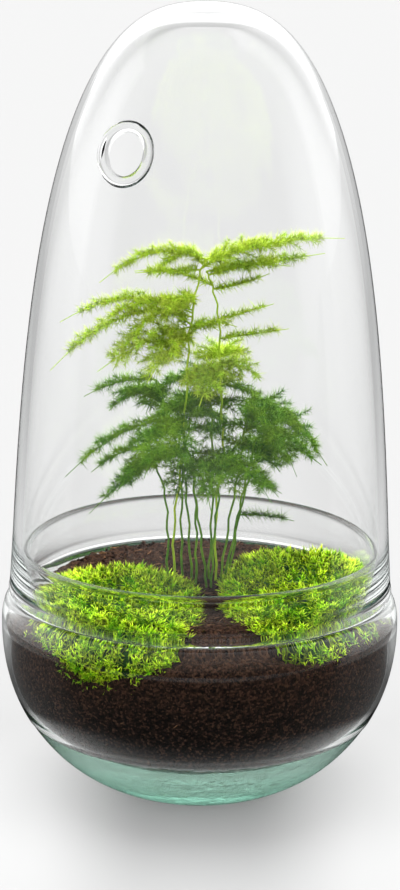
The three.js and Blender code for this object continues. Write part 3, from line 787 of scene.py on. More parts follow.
@dataclass
class GlassDome:
    """The egg-shaped dome with its even wall, ground foot and the vent with its thick round lip."""

    radius: float = 86.4
    top: float = 361.0
    foot: float = 91.3
    wall: float = 4.2
    crown_wall: float = 3.8
    taper: float = 0.14
    rise_power: float = 3.15
    round_power: float = 2.7
    vent_turn: float = 36.5
    vent_height: float = 303.5
    vent_tilt: float = 18.3
    vent_ring: float = 12.2
    vent_lip: float = 2.75
    vent_inset: float = 1.4
    steps: int = 168
    rows: int = 56

    def curve(self, radius: float, top: float) -> list[tuple[float, float]]:
        """Returns a face of the wall from its foot to its crown.

        Args:
            radius: The radius at the foot.
            top: The height of the crown.

        Returns:
            Radius and height of each point.
        """
        points = []
        for k in range(self.rows + 1):
            angle = math.pi / 2 * k / self.rows
            rise = math.sin(angle) ** (2 / self.rise_power)
            across = max(math.cos(angle), 0.0) ** (2 / self.round_power)
            points.append((radius * across * (1 - self.taper * rise), self.foot + (top - self.foot) * rise))
        points[-1] = (0.0, top)
        return points

    def profile(self) -> list[tuple[float, float]]:
        """Returns the wall's section: outside up to the crown, and back down the inside."""
        outside = self.curve(self.radius, self.top)
        inside = self.curve(self.radius - self.wall, self.top - self.crown_wall)
        outside[0] = (self.radius, self.foot + 5.2)
        inside[0] = (self.radius - self.wall, self.foot + 5.2)
        lip = [(self.radius + across, self.foot + up) for across, up in DOME_RIM]
        return [*[p for p in reversed(outside) if p[1] > self.foot + 5], *reversed(lip),
                *[p for p in inside if p[1] > self.foot + 5]]

    def vent_place(self) -> Matrix:
        """Returns the vent's place in the wall, with +Z out of the glass."""
        turn, tilt = math.radians(self.vent_turn), math.radians(self.vent_tilt)
        outward = Vector((-math.sin(turn) * math.cos(tilt), -math.cos(turn) * math.cos(tilt),
                          math.sin(tilt)))
        inside = self.curve(self.radius - self.wall, self.top - self.crown_wall)
        below = max((p for p in inside if p[1] <= self.vent_height), key=lambda p: p[1])
        above = min((p for p in inside if p[1] > self.vent_height), key=lambda p: p[1])
        share = (self.vent_height - below[1]) / (above[1] - below[1])
        radius = below[0] + (above[0] - below[0]) * share + self.wall / 2
        middle = Vector((-math.sin(turn) * mm(radius), -math.cos(turn) * mm(radius), mm(self.vent_height)))
        return Matrix.Translation(middle) @ facing(outward)

    def vent_ring_mesh(self) -> bmesh.types.BMesh:
        """Returns the vent's thick lip as a closed ring."""
        ring = bmesh.new()
        middle = Matrix.Translation((mm(self.vent_ring), 0, -mm(self.vent_inset)))
        place = middle @ Matrix.Rotation(math.pi / 2, 4, "X")
        bmesh.ops.create_circle(ring, cap_ends=False, segments=24, radius=mm(self.vent_lip), matrix=place)
        bmesh.ops.spin(ring, geom=[*ring.verts, *ring.edges], cent=(0, 0, 0), axis=(0, 0, 1), dvec=(0, 0, 0),
                       angle=FULL_TURN, steps=72, use_merge=True, use_duplicate=False)
        bmesh.ops.recalc_face_normals(ring, faces=ring.faces)
        bmesh.ops.transform(ring, matrix=self.vent_place(), verts=ring.verts)
        return ring

    def vent_cutter_mesh(self) -> bmesh.types.BMesh:
        """Returns the plug of wall that the vent takes away."""
        plug = bmesh.new()
        bmesh.ops.create_cone(plug, cap_ends=True, cap_tris=False, segments=72, radius1=mm(self.vent_ring),
                              radius2=mm(self.vent_ring), depth=mm(26), matrix=self.vent_place())
        return plug

    def build(self) -> bpy.types.Object:
        """Makes the dome, cuts the vent and joins its lip."""
        bell = smooth_object("dome_of_clear_glass", turned(self.profile(), self.steps),
                             DOME_GLASS.material(), ["glass_dome"])
        for operation, shape in (("DIFFERENCE", self.vent_cutter_mesh()), ("UNION", self.vent_ring_mesh())):
            join(bell, shape, operation)
        return bell


def join(piece: bpy.types.Object, shape: bmesh.types.BMesh, operation: str) -> None:
    """Cuts a shape out of a piece or joins it on, for good.

    Args:
        piece: The piece that changes.
        shape: The other shape, which is freed.
        operation: "DIFFERENCE" or "UNION".
    """
    data = bpy.data.meshes.new("tool")
    shape.to_mesh(data)
    shape.free()
    data.polygons.foreach_set("use_smooth", [True] * len(data.polygons))
    tool = bpy.data.objects.new("tool", data)
    bpy.context.scene.collection.objects.link(tool)
    step = piece.modifiers.new("join", "BOOLEAN")
    step.operation = operation
    step.solver = "EXACT"
    step.object = tool
    made = bpy.data.meshes.new_from_object(piece.evaluated_get(bpy.context.evaluated_depsgraph_get()))
    made.set_sharp_from_angle(angle=math.radians(30))
    piece.modifiers.clear()
    piece.data = made
    bpy.data.objects.remove(tool)
    bpy.data.meshes.remove(data)


# Compost

@dataclass
class SoilBed:
    """The compost: a crumbly top, a side that follows the glass, loose crumbs and root fibres.

    It is hollow under the front of each moss cushion. The hollows are given as depth, place right and back,
    and half width and length. A fibre's pair is its radius at each end. All of it is in millimetres.
    """

    bowl: GlassBowl
    gap: float = 0.3
    edge_height: float = 84.0
    mound: float = 9.5
    hollows: tuple[tuple[float, ...], ...] = ((12, -45, -70, 26, 18), (4, 45, -66, 20, 12))
    steps: int = 260
    side_rows: int = 64
    top_rows: int = 56
    crumbs_on_top: int = 2000
    strewn_radius: float = 80.0
    crumbs_at_glass: int = 1500
    crumb_heights: tuple[float, float] = (29.0, 80.0)
    fibres: int = 260
    fibre: tuple[float, float] = (0.16, 0.08)
    fibre_lengths: tuple[float, float] = (2.5, 7.5)
    fibre_heights: tuple[float, float] = (34.0, 78.0)
    seed: int = 41

    def top_height(self, x: float, y: float) -> float:
        """Returns the height of the compost's top, in millimetres, as the model has it."""
        radius = math.hypot(x, y)
        mound = self.mound * smooth_step((82 - radius) / 15)
        back = 1.2 * smooth_step((y + 20) / 60) * smooth_step((80 - radius) / 20)
        waves = 0.8 * math.sin(x * 0.41 + 1.3 * math.sin(y * 0.23)) * math.cos(y * 0.37 + 0.6)
        hollows = sum(depth * math.exp(-(((x - right) / wide) ** 2 + ((y - behind) / long) ** 2))
                      for depth, right, behind, wide, long in self.hollows)
        return self.edge_height + mound + back + waves - hollows

    def wall_radius(self, height: float) -> float:
        """Returns the radius of the compost's side at a height, in millimetres."""
        return self.bowl.free_radius(height) - self.gap

    def section(self) -> list[tuple[float, float]]:
        """Returns the section from the bottom's middle up the side and in over the top."""
        bottom = self.bowl.base + self.gap
        points = [(0.0, bottom)]
        for k in range(1, self.side_rows + 1):
            share = 1 - math.cos(math.pi / 2 * k / self.side_rows)
            height = bottom + (self.bowl.belly_height - bottom) * share
            points.append((self.wall_radius(height), height))
        for k in range(self.top_rows + 1):
            points.append((83.4 * (1 - k / self.top_rows), self.edge_height))
        return points

    def shape_bed(self) -> bmesh.types.BMesh:
        """Returns the bed with its lumps and crumbs, held back behind the glass."""
        bed = turned(self.section(), self.steps)
        for point in bed.verts:
            x, y, z = (value * 1000 for value in point.co)
            radius = math.hypot(x, y)
            lump = noise.fractal(Vector((x, y, z)) * 0.34, 0.9, 2.1, 3) if radius > 0 else 0.0
            if z > self.bowl.belly_height + 0.1:
                point.co.z = mm(self.top_height(x, y) + 0.9 * lump)
                continue
            level = min(z, self.top_height(x, y) - 1)
            wall = self.wall_radius(level)
            share = 1 - max(0.0, 0.9 * lump - 0.1) / max(wall, 1) if z > self.bowl.base + 2 else 1.0
            point.co = Vector((point.co.x * share, point.co.y * share, mm(level)))
        return bed

    def crumb_stamps(self) -> list[Stamp]:
        """Returns a few uneven crumbs of compost, each a few dozen faces."""
        rng = random.Random(self.seed)
        stamps = []
        for _ in range(4):
            lump = bmesh.new()
            bmesh.ops.create_icosphere(lump, subdivisions=1, radius=mm(1))
            for point in lump.verts:
                point.co = point.co * rng.uniform(0.7, 1.2)
            bmesh.ops.scale(lump, vec=(1.0, rng.uniform(0.6, 0.9), rng.uniform(0.5, 0.8)), verts=lump.verts)
            stamps.append(Stamp.of("crumb", lump))
        return stamps

    def strew_crumbs(self) -> bmesh.types.BMesh:
        """Returns the loose crumbs on the top and the clods behind the glass."""
        rng = random.Random(self.seed + 1)
        stamps = self.crumb_stamps()
        crumbs = bmesh.new()
        for _ in range(self.crumbs_on_top):
            radius, turn = self.strewn_radius * math.sqrt(rng.random()), rng.uniform(0, FULL_TURN)
            x, y = radius * math.cos(turn), radius * math.sin(turn)
            size = 0.35 + 1.0 * rng.random() ** 2.5
            self.drop_crumb(crumbs, (x, y, self.top_height(x, y) + 0.35 * size), size, stamps, rng)
        for _ in range(self.crumbs_at_glass):
            height = rng.uniform(*self.crumb_heights)
            turn = rng.uniform(0, FULL_TURN)
            size = 0.3 + 0.7 * rng.random() ** 2
            radius = self.wall_radius(height) - 0.25 - size * 0.75
            place = (radius * math.cos(turn), radius * math.sin(turn), height)
            self.drop_crumb(crumbs, place, size, stamps, rng)
        return crumbs

    def drop_crumb(self, crumbs: bmesh.types.BMesh, place: tuple[float, float, float], size: float,
                   stamps: list[Stamp], rng: random.Random) -> None:
        """Adds one crumb, turned at random.

        Args:
            crumbs: The bmesh that takes it.
            place: Where it lies, in millimetres.
            size: Its radius in millimetres.
            stamps: The crumbs to choose from.
            rng: The random numbers.
        """
        turn = rng.uniform(0, FULL_TURN)
        spin = Matrix.Rotation(turn, 4, Vector((rng.random(), rng.random(), 1)).normalized())
        move = Matrix.Translation([mm(value) for value in place])
        rng.choice(stamps).press(crumbs, move @ spin @ Matrix.Scale(size, 4))

    def strew_fibres(self) -> bmesh.types.BMesh:
        """Returns pale root fibres, lying on the top and behind the glass."""
        rng = random.Random(self.seed + 2)
        lowest, highest = self.fibre_heights
        fibres = bmesh.new()
        leaf_layers(fibres)
        tubes = Tubes()
        for k in range(self.fibres):
            turn = rng.uniform(0, FULL_TURN)
            length = rng.uniform(*self.fibre_lengths)
            lie = rng.uniform(0, FULL_TURN)
            bend = rng.uniform(-0.25, 0.25)
            points = []
            for step in range(4):
                way = (step / 3 - 0.5) * length
                across = bend * length * (1 - (step / 1.5 - 1) ** 2)
                if k % 2:
                    radius = 76 * math.sqrt(0.02 + 0.98 * ((k * 0.618) % 1))
                    x = radius * math.cos(turn) + way * math.cos(lie) - across * math.sin(lie)
                    y = radius * math.sin(turn) + way * math.sin(lie) + across * math.cos(lie)
                    points.append(Vector((mm(x), mm(y), mm(self.top_height(x, y) + 0.7))))
                    continue
                height = (lowest + (highest - lowest) * ((k * 0.618) % 1)
                          + way * 0.5 * math.sin(lie) + across)
                radius = self.wall_radius(min(height, 82)) - 0.35
                angle = turn + way * math.cos(lie) / radius
                place = (radius * math.cos(angle), radius * math.sin(angle), height)
                points.append(Vector([mm(value) for value in place]))
            tubes.add(points, *self.fibre)
        tubes.into(fibres, 0.6)
        return fibres

    def build(self) -> list[bpy.types.Object]:
        """Makes the bed, its crumbs and its fibres."""
        finish = SOIL.material()
        return [
            smooth_object("compost_bed", self.shape_bed(), finish, ["soil"]),
            smooth_object("compost_crumbs", self.strew_crumbs(), finish),
            smooth_object("compost_root_fibres", self.strew_fibres(), ROOT_FIBRES.material()),
        ]


# Moss

# Each tier of a sprig: its height, how far its leaves lean out in degrees, their length, and how many
SPRIG_TIERS = ((0.3, 78, 3.2, 3), (1.3, 60, 3.4, 4), (2.4, 36, 3.1, 3), (3.0, 10, 2.6, 1))


@dataclass
class MossCushion:
    """A cushion of moss: a dark core, partly painted shade, and leafy sprigs that stand out of it from the
    top far down its sides.

    Its middle and its half width, length and height are in millimetres. An inset lies inside the cushion's
    face, the reach outside it, and a gap is kept from the glass. covered is how far down the sprigs go: 1 is
    to the widest part and 2 to the bottom.
    """

    node: str
    middle: tuple[float, float, float]
    half: tuple[float, float, float]
    soil: SoilBed
    seed: int
    depth: float = 26.0
    squareness: float = 0.78
    sprigs: int = 2300
    leaf_width: float = 0.95
    leaf_thickness: float = 0.42
    gap: float = 0.3
    core_inset: float = 2.0
    core_gap: float = 3.4
    root_inset: float = 1.2
    root_gap: float = 2.8
    reach: float = 3.0
    covered: float = 1.8

    def on_mound(self, way: Vector, grow: float, gap: float) -> Vector:
        """Returns the point of the cushion's face in a direction, in millimetres.

        Args:
            way: The direction from the cushion's middle.
            grow: How far outside the face the point lies.
            gap: How far it stays from the glass.

        Returns:
            The point, kept inside the glass.
        """
        x, y, z = (math.copysign(abs(part) ** self.squareness, part) for part in way)
        drop = self.depth if way.z < 0 else self.half[2]
        offset = Vector(((self.half[0] + grow) * x, (self.half[1] + grow) * y, (drop + grow) * z))
        return self.kept_in(Vector(self.middle) + offset, gap)

    def kept_in(self, point: Vector, gap: float) -> Vector:
        """Returns a point moved in where it would come nearer to the glass than a gap, in millimetres."""
        limit = self.soil.bowl.free_radius(point.z)
        reach = math.hypot(point.x, point.y)
        keep = min(1.0, (limit - gap) / max(reach, 1e-6))
        return Vector((point.x * keep, point.y * keep, point.z))

    def core(self) -> bmesh.types.BMesh:
        """Returns the cushion's smaller core, which fills the shade between the sprigs in the leaves'
        darkest colour, as painted shade.
        """
        core = bmesh.new()
        bmesh.ops.create_icosphere(core, subdivisions=5, radius=1.0)
        # Its tip and tone stay 0, so the core takes the leaves' darkest colour, as painted shade
        leaf_layers(core)
        for point in core.verts:
            face = self.on_mound(point.co.normalized(), -self.core_inset, self.core_gap)
            face.z += self.lump(face) if point.co.z > 0 else 0.0
            point.co = face / 1000
        return core

    def lump(self, point: Vector) -> float:
        """Returns how far the cushion swells or sinks at a point, in millimetres."""
        return 2.8 * noise.noise(point * 0.08) + 2.4 * noise.noise(point * 0.17)

    def sprig_stamps(self) -> list[Stamp]:
        """Returns a few sprigs, each ringed by pointed leaves in rising whorls."""
        rng = random.Random(self.seed)
        leaf = needle(1.0, self.leaf_width, 3)
        flat = self.leaf_thickness / self.leaf_width
        stamps = []
        for number in range(8):
            sprig = bmesh.new()
            leaf_layers(sprig)
            for tier, (height, tilt, length, count) in enumerate(SPRIG_TIERS):
                for k in range(count):
                    turn = (k + 0.5 * tier + rng.uniform(-0.25, 0.25)) * FULL_TURN / count
                    lean = math.radians(tilt + rng.uniform(-14, 14))
                    stretch = Matrix.Diagonal((1.0, flat, length * rng.uniform(0.75, 1.15), 1.0))
                    root = Matrix.Translation((0, 0, mm(height)))
                    leaf.press(sprig, root @ facing(leaning(lean, turn)) @ stretch)
            stamps.append(Stamp.of("sprig", toned(sprig, number / 7)))
        return stamps

    def build(self) -> bpy.types.Object:
        """Makes the cushion."""
        rng = random.Random(self.seed + 100)
        stamps = self.sprig_stamps()
        cushion = self.core()
        for k in range(self.sprigs):
            share = (k + 0.5) / self.sprigs
            level = 1 - self.covered * share
            turn = k * math.pi * (3 - math.sqrt(5)) + rng.uniform(-0.05, 0.05)
            flat = math.sqrt(max(1 - level * level, 0.0))
            way = Vector((flat * math.cos(turn), flat * math.sin(turn), level))
            root = self.on_mound(way, -self.root_inset, self.root_gap)
            outer = self.on_mound(way, self.reach, 0.0)
            if root.z < self.soil.top_height(root.x, root.y) - 3 and outer.z < root.z + 0.5:
                continue
            stray = Vector((rng.uniform(-2.6, 2.6), rng.uniform(-2.6, 2.6), 1.5 + rng.uniform(-1, 1)))
            grow = (outer - root + stray).normalized()
            root.z += self.lump(root) if way.z > 0 else 0.0
            size = rng.uniform(0.75, 1.35)
            place = Matrix.Translation(root / 1000) @ facing(grow, rng.uniform(0, FULL_TURN))
            rng.choice(stamps).press(cushion, place @ Matrix.Scale(size, 4))
        for point in cushion.verts:
            point.co = self.kept_in(point.co * 1000, self.gap) / 1000
        return smooth_object(self.node + "_leaves", cushion, MOSS_LEAVES.material(), [self.node])


# Fern

class Age(Enum):
    """How old a frond is, which sets its finish."""

    YOUNG = "fern_young"
    GROWN = "fern_grown"


@dataclass(frozen=True)
class Spray:
    """A flat spray of a frond.

    Attributes:
        leaves: The share of the stem's height where it leaves the stem.
        turn: Its turn round the plant in degrees: 0 is right, 90 back, 180 left, 270 front.
        reach: Its reach in millimetres.
        arch: How far it arches.
        tip: The height of its tip over its start.
        half: Its broadest half width.
    """

    leaves: float
    turn: float
    reach: float
    arch: float
    tip: float
    half: float

    def track(self, start: Vector) -> Track:
        """Returns its main twig's path from a point on the stem."""
        turn = math.radians(self.turn)
        points = []
        for k in range(6):
            share = k / 5
            rise = self.tip * share + self.arch * 4 * share * (1 - share)
            points.append(start + Vector((math.cos(turn) * self.reach * share,
                                          math.sin(turn) * self.reach * share, rise)) / 1000)
        return Track.through(points, 4)


@dataclass(frozen=True)
class FrondPlan:
    """A frond: its age, the points of its stem above the soil, and its sprays."""

    age: Age
    stem: tuple[tuple[float, float, float], ...]
    sprays: tuple[tuple[float, float, float, float, float, float], ...]


FRONDS = (
    FrondPlan(Age.YOUNG, (
        (-12, 5, 94), (-12, 5, 123), (-9, 5, 151), (-7, 5, 188), (-6, 4, 212), (-2, 4, 237), (1, 4, 245),
    ), (
        (1, 6, 63, 3, 9, 13), (1, 176, 48, 8, -12, 9), (0.965, 194, 30, 0, 0, 6),
        (0.885, 236, 25, 2, -3, 11), (0.82, 181, 64, 12, -25, 11), (0.84, 169, 62, 8, -9, 9),
        (0.79, 201, 44, 3, -17, 17), (0.76, 238, 34, 3, -14, 14), (0.79, 342, 22, 2, 2, 7),
    )),
    FrondPlan(Age.YOUNG, (
        (7, 7, 94), (7, 8, 132), (10, 9, 150), (9, 10, 170), (8, 10, 189), (7, 11, 215), (4, 10, 231),
        (1, 10, 238),
    ), (
        (1, 5, 54, 0, 8, 9), (0.94, 346, 26, -1, 9, 5), (0.95, 171, 36, 3, 5, 5), (0.84, 14, 26, 0, 6, 4),
        (0.78, 345, 32, 0, 7, 5), (0.72, 78, 34, 4, -10, 14), (0.68, 252, 31, 4, -9, 14),
        (0.7, 338, 20, 3, -6, 10),
    )),
    FrondPlan(Age.GROWN, ((9, 2, 94), (13, 2, 125), (17, 1, 148), (19, 0, 165), (20, 0, 182)), (
        (1, 350, 37, 8, -29, 15), (1, 296, 34, 5, -16, 13), (0.93, 28, 32, 6, -18, 13),
        (0.86, 205, 22, 4, -7, 11),
    )),
    FrondPlan(Age.GROWN, ((11, 6, 94), (17, 7, 125), (23, 8, 146), (26, 9, 158)), (
        (1, 6, 29, 4, -10, 10), (0.74, 338, 16, 1, -4, 5),
    )),
    FrondPlan(Age.GROWN, ((4, 10, 94), (5, 12, 125), (5, 14, 155), (3, 15, 187)), (
        (1, 95, 38, 6, -18, 15), (1, 152, 36, 5, -16, 13), (0.9, 200, 26, 5, -8, 12),
        (0.96, 24, 27, 4, -10, 12),
    )),
    FrondPlan(Age.GROWN, ((3, -3, 94), (0, -5, 119), (-3, -7, 140), (-5, -9, 156), (-11, -11, 175)), (
        (1, 189, 50, 7, -25, 10), (1, 247, 36, 5, -18, 13),
    )),
    FrondPlan(Age.GROWN, ((-2, 2, 94), (-2, 2, 118), (-3, 0, 140), (-4, -2, 158)), (
        (1, 204, 50, 6, -24, 9), (0.94, 283, 36, 4, -14, 12), (0.98, 335, 28, 4, -9, 11),
    )),
    FrondPlan(Age.GROWN, ((-4, 9, 94), (-6, 11, 125), (-9, 13, 149), (-16, 15, 170), (-21, 16, 186)), (
        (1, 181, 33, 3, -8, 8), (0.92, 137, 34, 5, -14, 12),
    )),
    FrondPlan(Age.GROWN, ((-15, 2, 94), (-15, 1, 120), (-17, -1, 140), (-24, -4, 160)), (
        (1, 172, 26, 3, -13, 8), (0.9, 232, 26, 4, -9, 9),
    )),
    FrondPlan(Age.GROWN, ((-8, 13, 94), (-9, 17, 120), (-8, 21, 145), (-5, 25, 170)), (
        (1, 118, 34, 5, -16, 13), (0.96, 58, 30, 4, -12, 11), (0.88, 165, 34, 4, -14, 10),
    )),
    FrondPlan(Age.GROWN, ((13, 11, 94), (17, 15, 120), (20, 18, 138), (25, 21, 158)), (
        (1, 40, 34, 5, -14, 12), (0.9, 88, 30, 4, -10, 11), (0.45, 355, 25, 1, -2, 4),
    )),
    FrondPlan(Age.GROWN, ((5, -4, 94), (6, -7, 120), (8, -10, 142), (7, -13, 160)), (
        (1, 312, 36, 5, -15, 12), (0.93, 262, 32, 4, -10, 12),
    )),
)


@dataclass
class Fern:
    """The fern: each frond a wiry stem, flat sprays of side twigs, and tufts of fine needles.

    Lengths are in millimetres, and needle_length is that of the longest. Real needles are hair thin, so
    these are drawn as thick as they need to be to show. A twig's pair is its radius at the root and the tip.
    """

    needle_length: float = 6.6
    needle_width: float = 0.44
    needles: int = 7
    twig_step: float = 1.35
    bare_tip: float = 0.16
    tuft_step: float = 1.4
    stem: tuple[float, float] = (0.55, 0.4)
    stem_wave: float = 0.5
    stem_foot: float = 6.0
    main_twig: tuple[float, float] = (0.42, 0.16)
    side_twig: tuple[float, float] = (0.18, 0.1)
    seed: int = 7
    tufts: list[Stamp] = field(default_factory=list)

    def make_tufts(self) -> None:
        """Makes a few tufts of needles that lean forward along +Z."""
        rng = random.Random(self.seed)
        blade = needle(1.0, self.needle_width, 3)
        for number in range(8):
            tuft = bmesh.new()
            leaf_layers(tuft)
            for k in range(self.needles):
                turn = (k + rng.uniform(-0.3, 0.3)) * FULL_TURN / self.needles
                lean = math.radians(rng.uniform(28, 82))
                size = self.needle_length * rng.uniform(0.6, 1.05)
                root = Matrix.Translation((0, 0, mm(self.tuft_step * (k / self.needles - 0.5))))
                blade.press(tuft, root @ facing(leaning(lean, turn)) @ Matrix.Diagonal((1, 1, size, 1)))
            self.tufts.append(Stamp.of("tuft", toned(tuft, number / 7)))

    def side_length(self, spray: Spray, share: float) -> float:
        """Returns how long a spray's side twigs are at a share of it, in millimetres."""
        return 1.6 + (spray.half - 3.2) * max(math.sin(math.pi * (0.18 + 0.8 * share)), 0.0) ** 0.7

    def tuft_along(self, target: bmesh.types.BMesh, track: Track, start: float, rng: random.Random,
                   size: float) -> None:
        """Presses tufts along a twig.

        Args:
            target: The frond's bmesh.
            track: The twig's path.
            start: The share of the twig where they start.
            rng: The frond's random numbers.
            size: How large the first ones are, where 1 is full size.
        """
        count = max(1, round(track.length * 1000 * (1 - start) / self.tuft_step))
        for k in range(count):
            share = start + (1 - start) * (k + 0.6 * rng.random()) / count
            point, way = track.at(share)
            grown = size * (1 - 0.4 * share) * rng.uniform(0.8, 1.1)
            place = Matrix.Translation(point) @ facing(way, rng.uniform(0, FULL_TURN))
            rng.choice(self.tufts).press(target, place @ Matrix.Scale(grown, 4))

    def grow_spray(self, target: bmesh.types.BMesh, tubes: Tubes, spray: Spray, start: Vector, lift: float,
                   rng: random.Random) -> None:
        """Grows one spray: its main twig, side twigs on both sides, and all their needles.

        Args:
            target: The frond's bmesh.
            tubes: The frond's twigs.
            spray: The spray's sizes.
            start: Where it leaves the stem.
            lift: How far its side twigs stray out of its plane, where 1 is as far as they reach.
            rng: The frond's random numbers.
        """
        main = spray.track(start)
        tubes.add(main.points, *self.main_twig)
        leafy = Track([main.at((1 - self.bare_tip) * k / 12)[0] for k in range(13)])
        self.tuft_along(target, leafy, 0.06, rng, 0.9)
        count = round(leafy.length * 1000 / self.twig_step)
        for k in range(count):
            share = 0.03 + 0.95 * (k + 0.5 * rng.random()) / count
            root, along = leafy.at(share)
            side = Vector((-along.y, along.x, 0)).normalized() * (1 if k % 2 else -1)
            length = self.side_length(spray, share) * rng.uniform(0.6, 1.1)
            way = (side + along * rng.uniform(0.5, 0.95)).normalized()
            way.z += rng.uniform(-0.5, 1.0) * lift
            end = root + way.normalized() * mm(length)
            middle = root.lerp(end, 0.5) + Vector((0, 0, mm(rng.uniform(0.1, 1.1))))
            end.z -= mm(rng.uniform(0, 0.09) * length)
            twig = Track([root, middle, end])
            tubes.add([root, middle, end], *self.side_twig)
            self.tuft_along(target, twig, 0.12, rng, 0.95)

    def all_sprays(self, plan: FrondPlan, rng: random.Random) -> list[Spray]:
        """Returns a frond's sprays, each broad one with a smaller one beside it, which fills the bush."""
        sprays = [Spray(*sizes) for sizes in plan.sprays]
        young = plan.age is Age.YOUNG
        for spray in list(sprays):
            if spray.half < 7:
                continue
            swing = rng.choice((-1, 1)) * (rng.uniform(12, 26) if young else rng.uniform(20, 42))
            lower = rng.uniform(0.965, 0.99) if young else rng.uniform(0.84, 0.95)
            reach = rng.uniform(0.5, 0.72) if young else rng.uniform(0.62, 0.85)
            sprays.append(Spray(spray.leaves * lower, spray.turn + swing, spray.reach * reach,
                                spray.arch + rng.uniform(0, 3), spray.tip * 0.75, spray.half))
        return sprays

    def grow_frond(self, number: int, plan: FrondPlan, finish: bpy.types.Material) -> bpy.types.Object:
        """Grows one frond in place of its node.

        Args:
            number: The frond's number, from 1.
            plan: Its stem and sprays.
            finish: Its needles' material.

        Returns:
            The frond.
        """
        rng = random.Random(self.seed * 100 + number)
        frond = bmesh.new()
        leaf_layers(frond)
        marks = [Vector(point) / 1000 for point in plan.stem]
        stem = Track.through(marks, 5)
        for k, point in enumerate(stem.points[1:-1]):
            point.x += mm(self.stem_wave) * math.sin(1.9 * k + number)
            point.y += mm(self.stem_wave) * math.cos(1.4 * k + number)
        foot = marks[0] - Vector((0, 0, mm(self.stem_foot)))
        stems, tubes = Tubes(sides=1), Tubes()
        stems.add([foot, *stem.points], *self.stem)
        lift = 0.7 if plan.age is Age.YOUNG else 0.6
        for spray in self.all_sprays(plan, rng):
            self.grow_spray(frond, tubes, spray, stem.at(spray.leaves)[0], lift, rng)
        stems.into(frond, 0.3)
        tubes.into(frond, 0.3)
        node = f"fern_frond_{number:02d}"
        return smooth_object(node + "_needles", frond, finish, [node])

    def build(self) -> list[bpy.types.Object]:
        """Grows all the fronds."""
        self.make_tufts()
        finishes = {Age.YOUNG: YOUNG_NEEDLES.material(), Age.GROWN: GROWN_NEEDLES.material()}
        return [self.grow_frond(number, plan, finishes[plan.age]) for number, plan in enumerate(FRONDS, 1)]


# Studio

@dataclass(frozen=True)
class Panel:
    """A large lit panel far off, which shows in the glass as a soft white band.

    Attributes:
        turns: Its left and right edge, in degrees from the camera's side, with the right positive.
        heights: Its lower and upper edge, in degrees over the horizon.
        glow: How bright it is, where the white table is about 1.
        blur: How soft its edges are, in degrees.
    """

    turns: tuple[float, float]
    heights: tuple[float, float]
    glow: float
    blur: float = 2.0

    def edges(self, ends: tuple[float, float]) -> tuple[Fade, Fade]:
        """Returns the fades from 0 to 1 and back to 0 at two angles, in radians."""
        low, high = (math.radians(angle) for angle in ends)
        half = math.radians(self.blur / 2)
        return Fade(low - half, low + half, 0.0, 1.0), Fade(high - half, high + half, 1.0, 0.0)


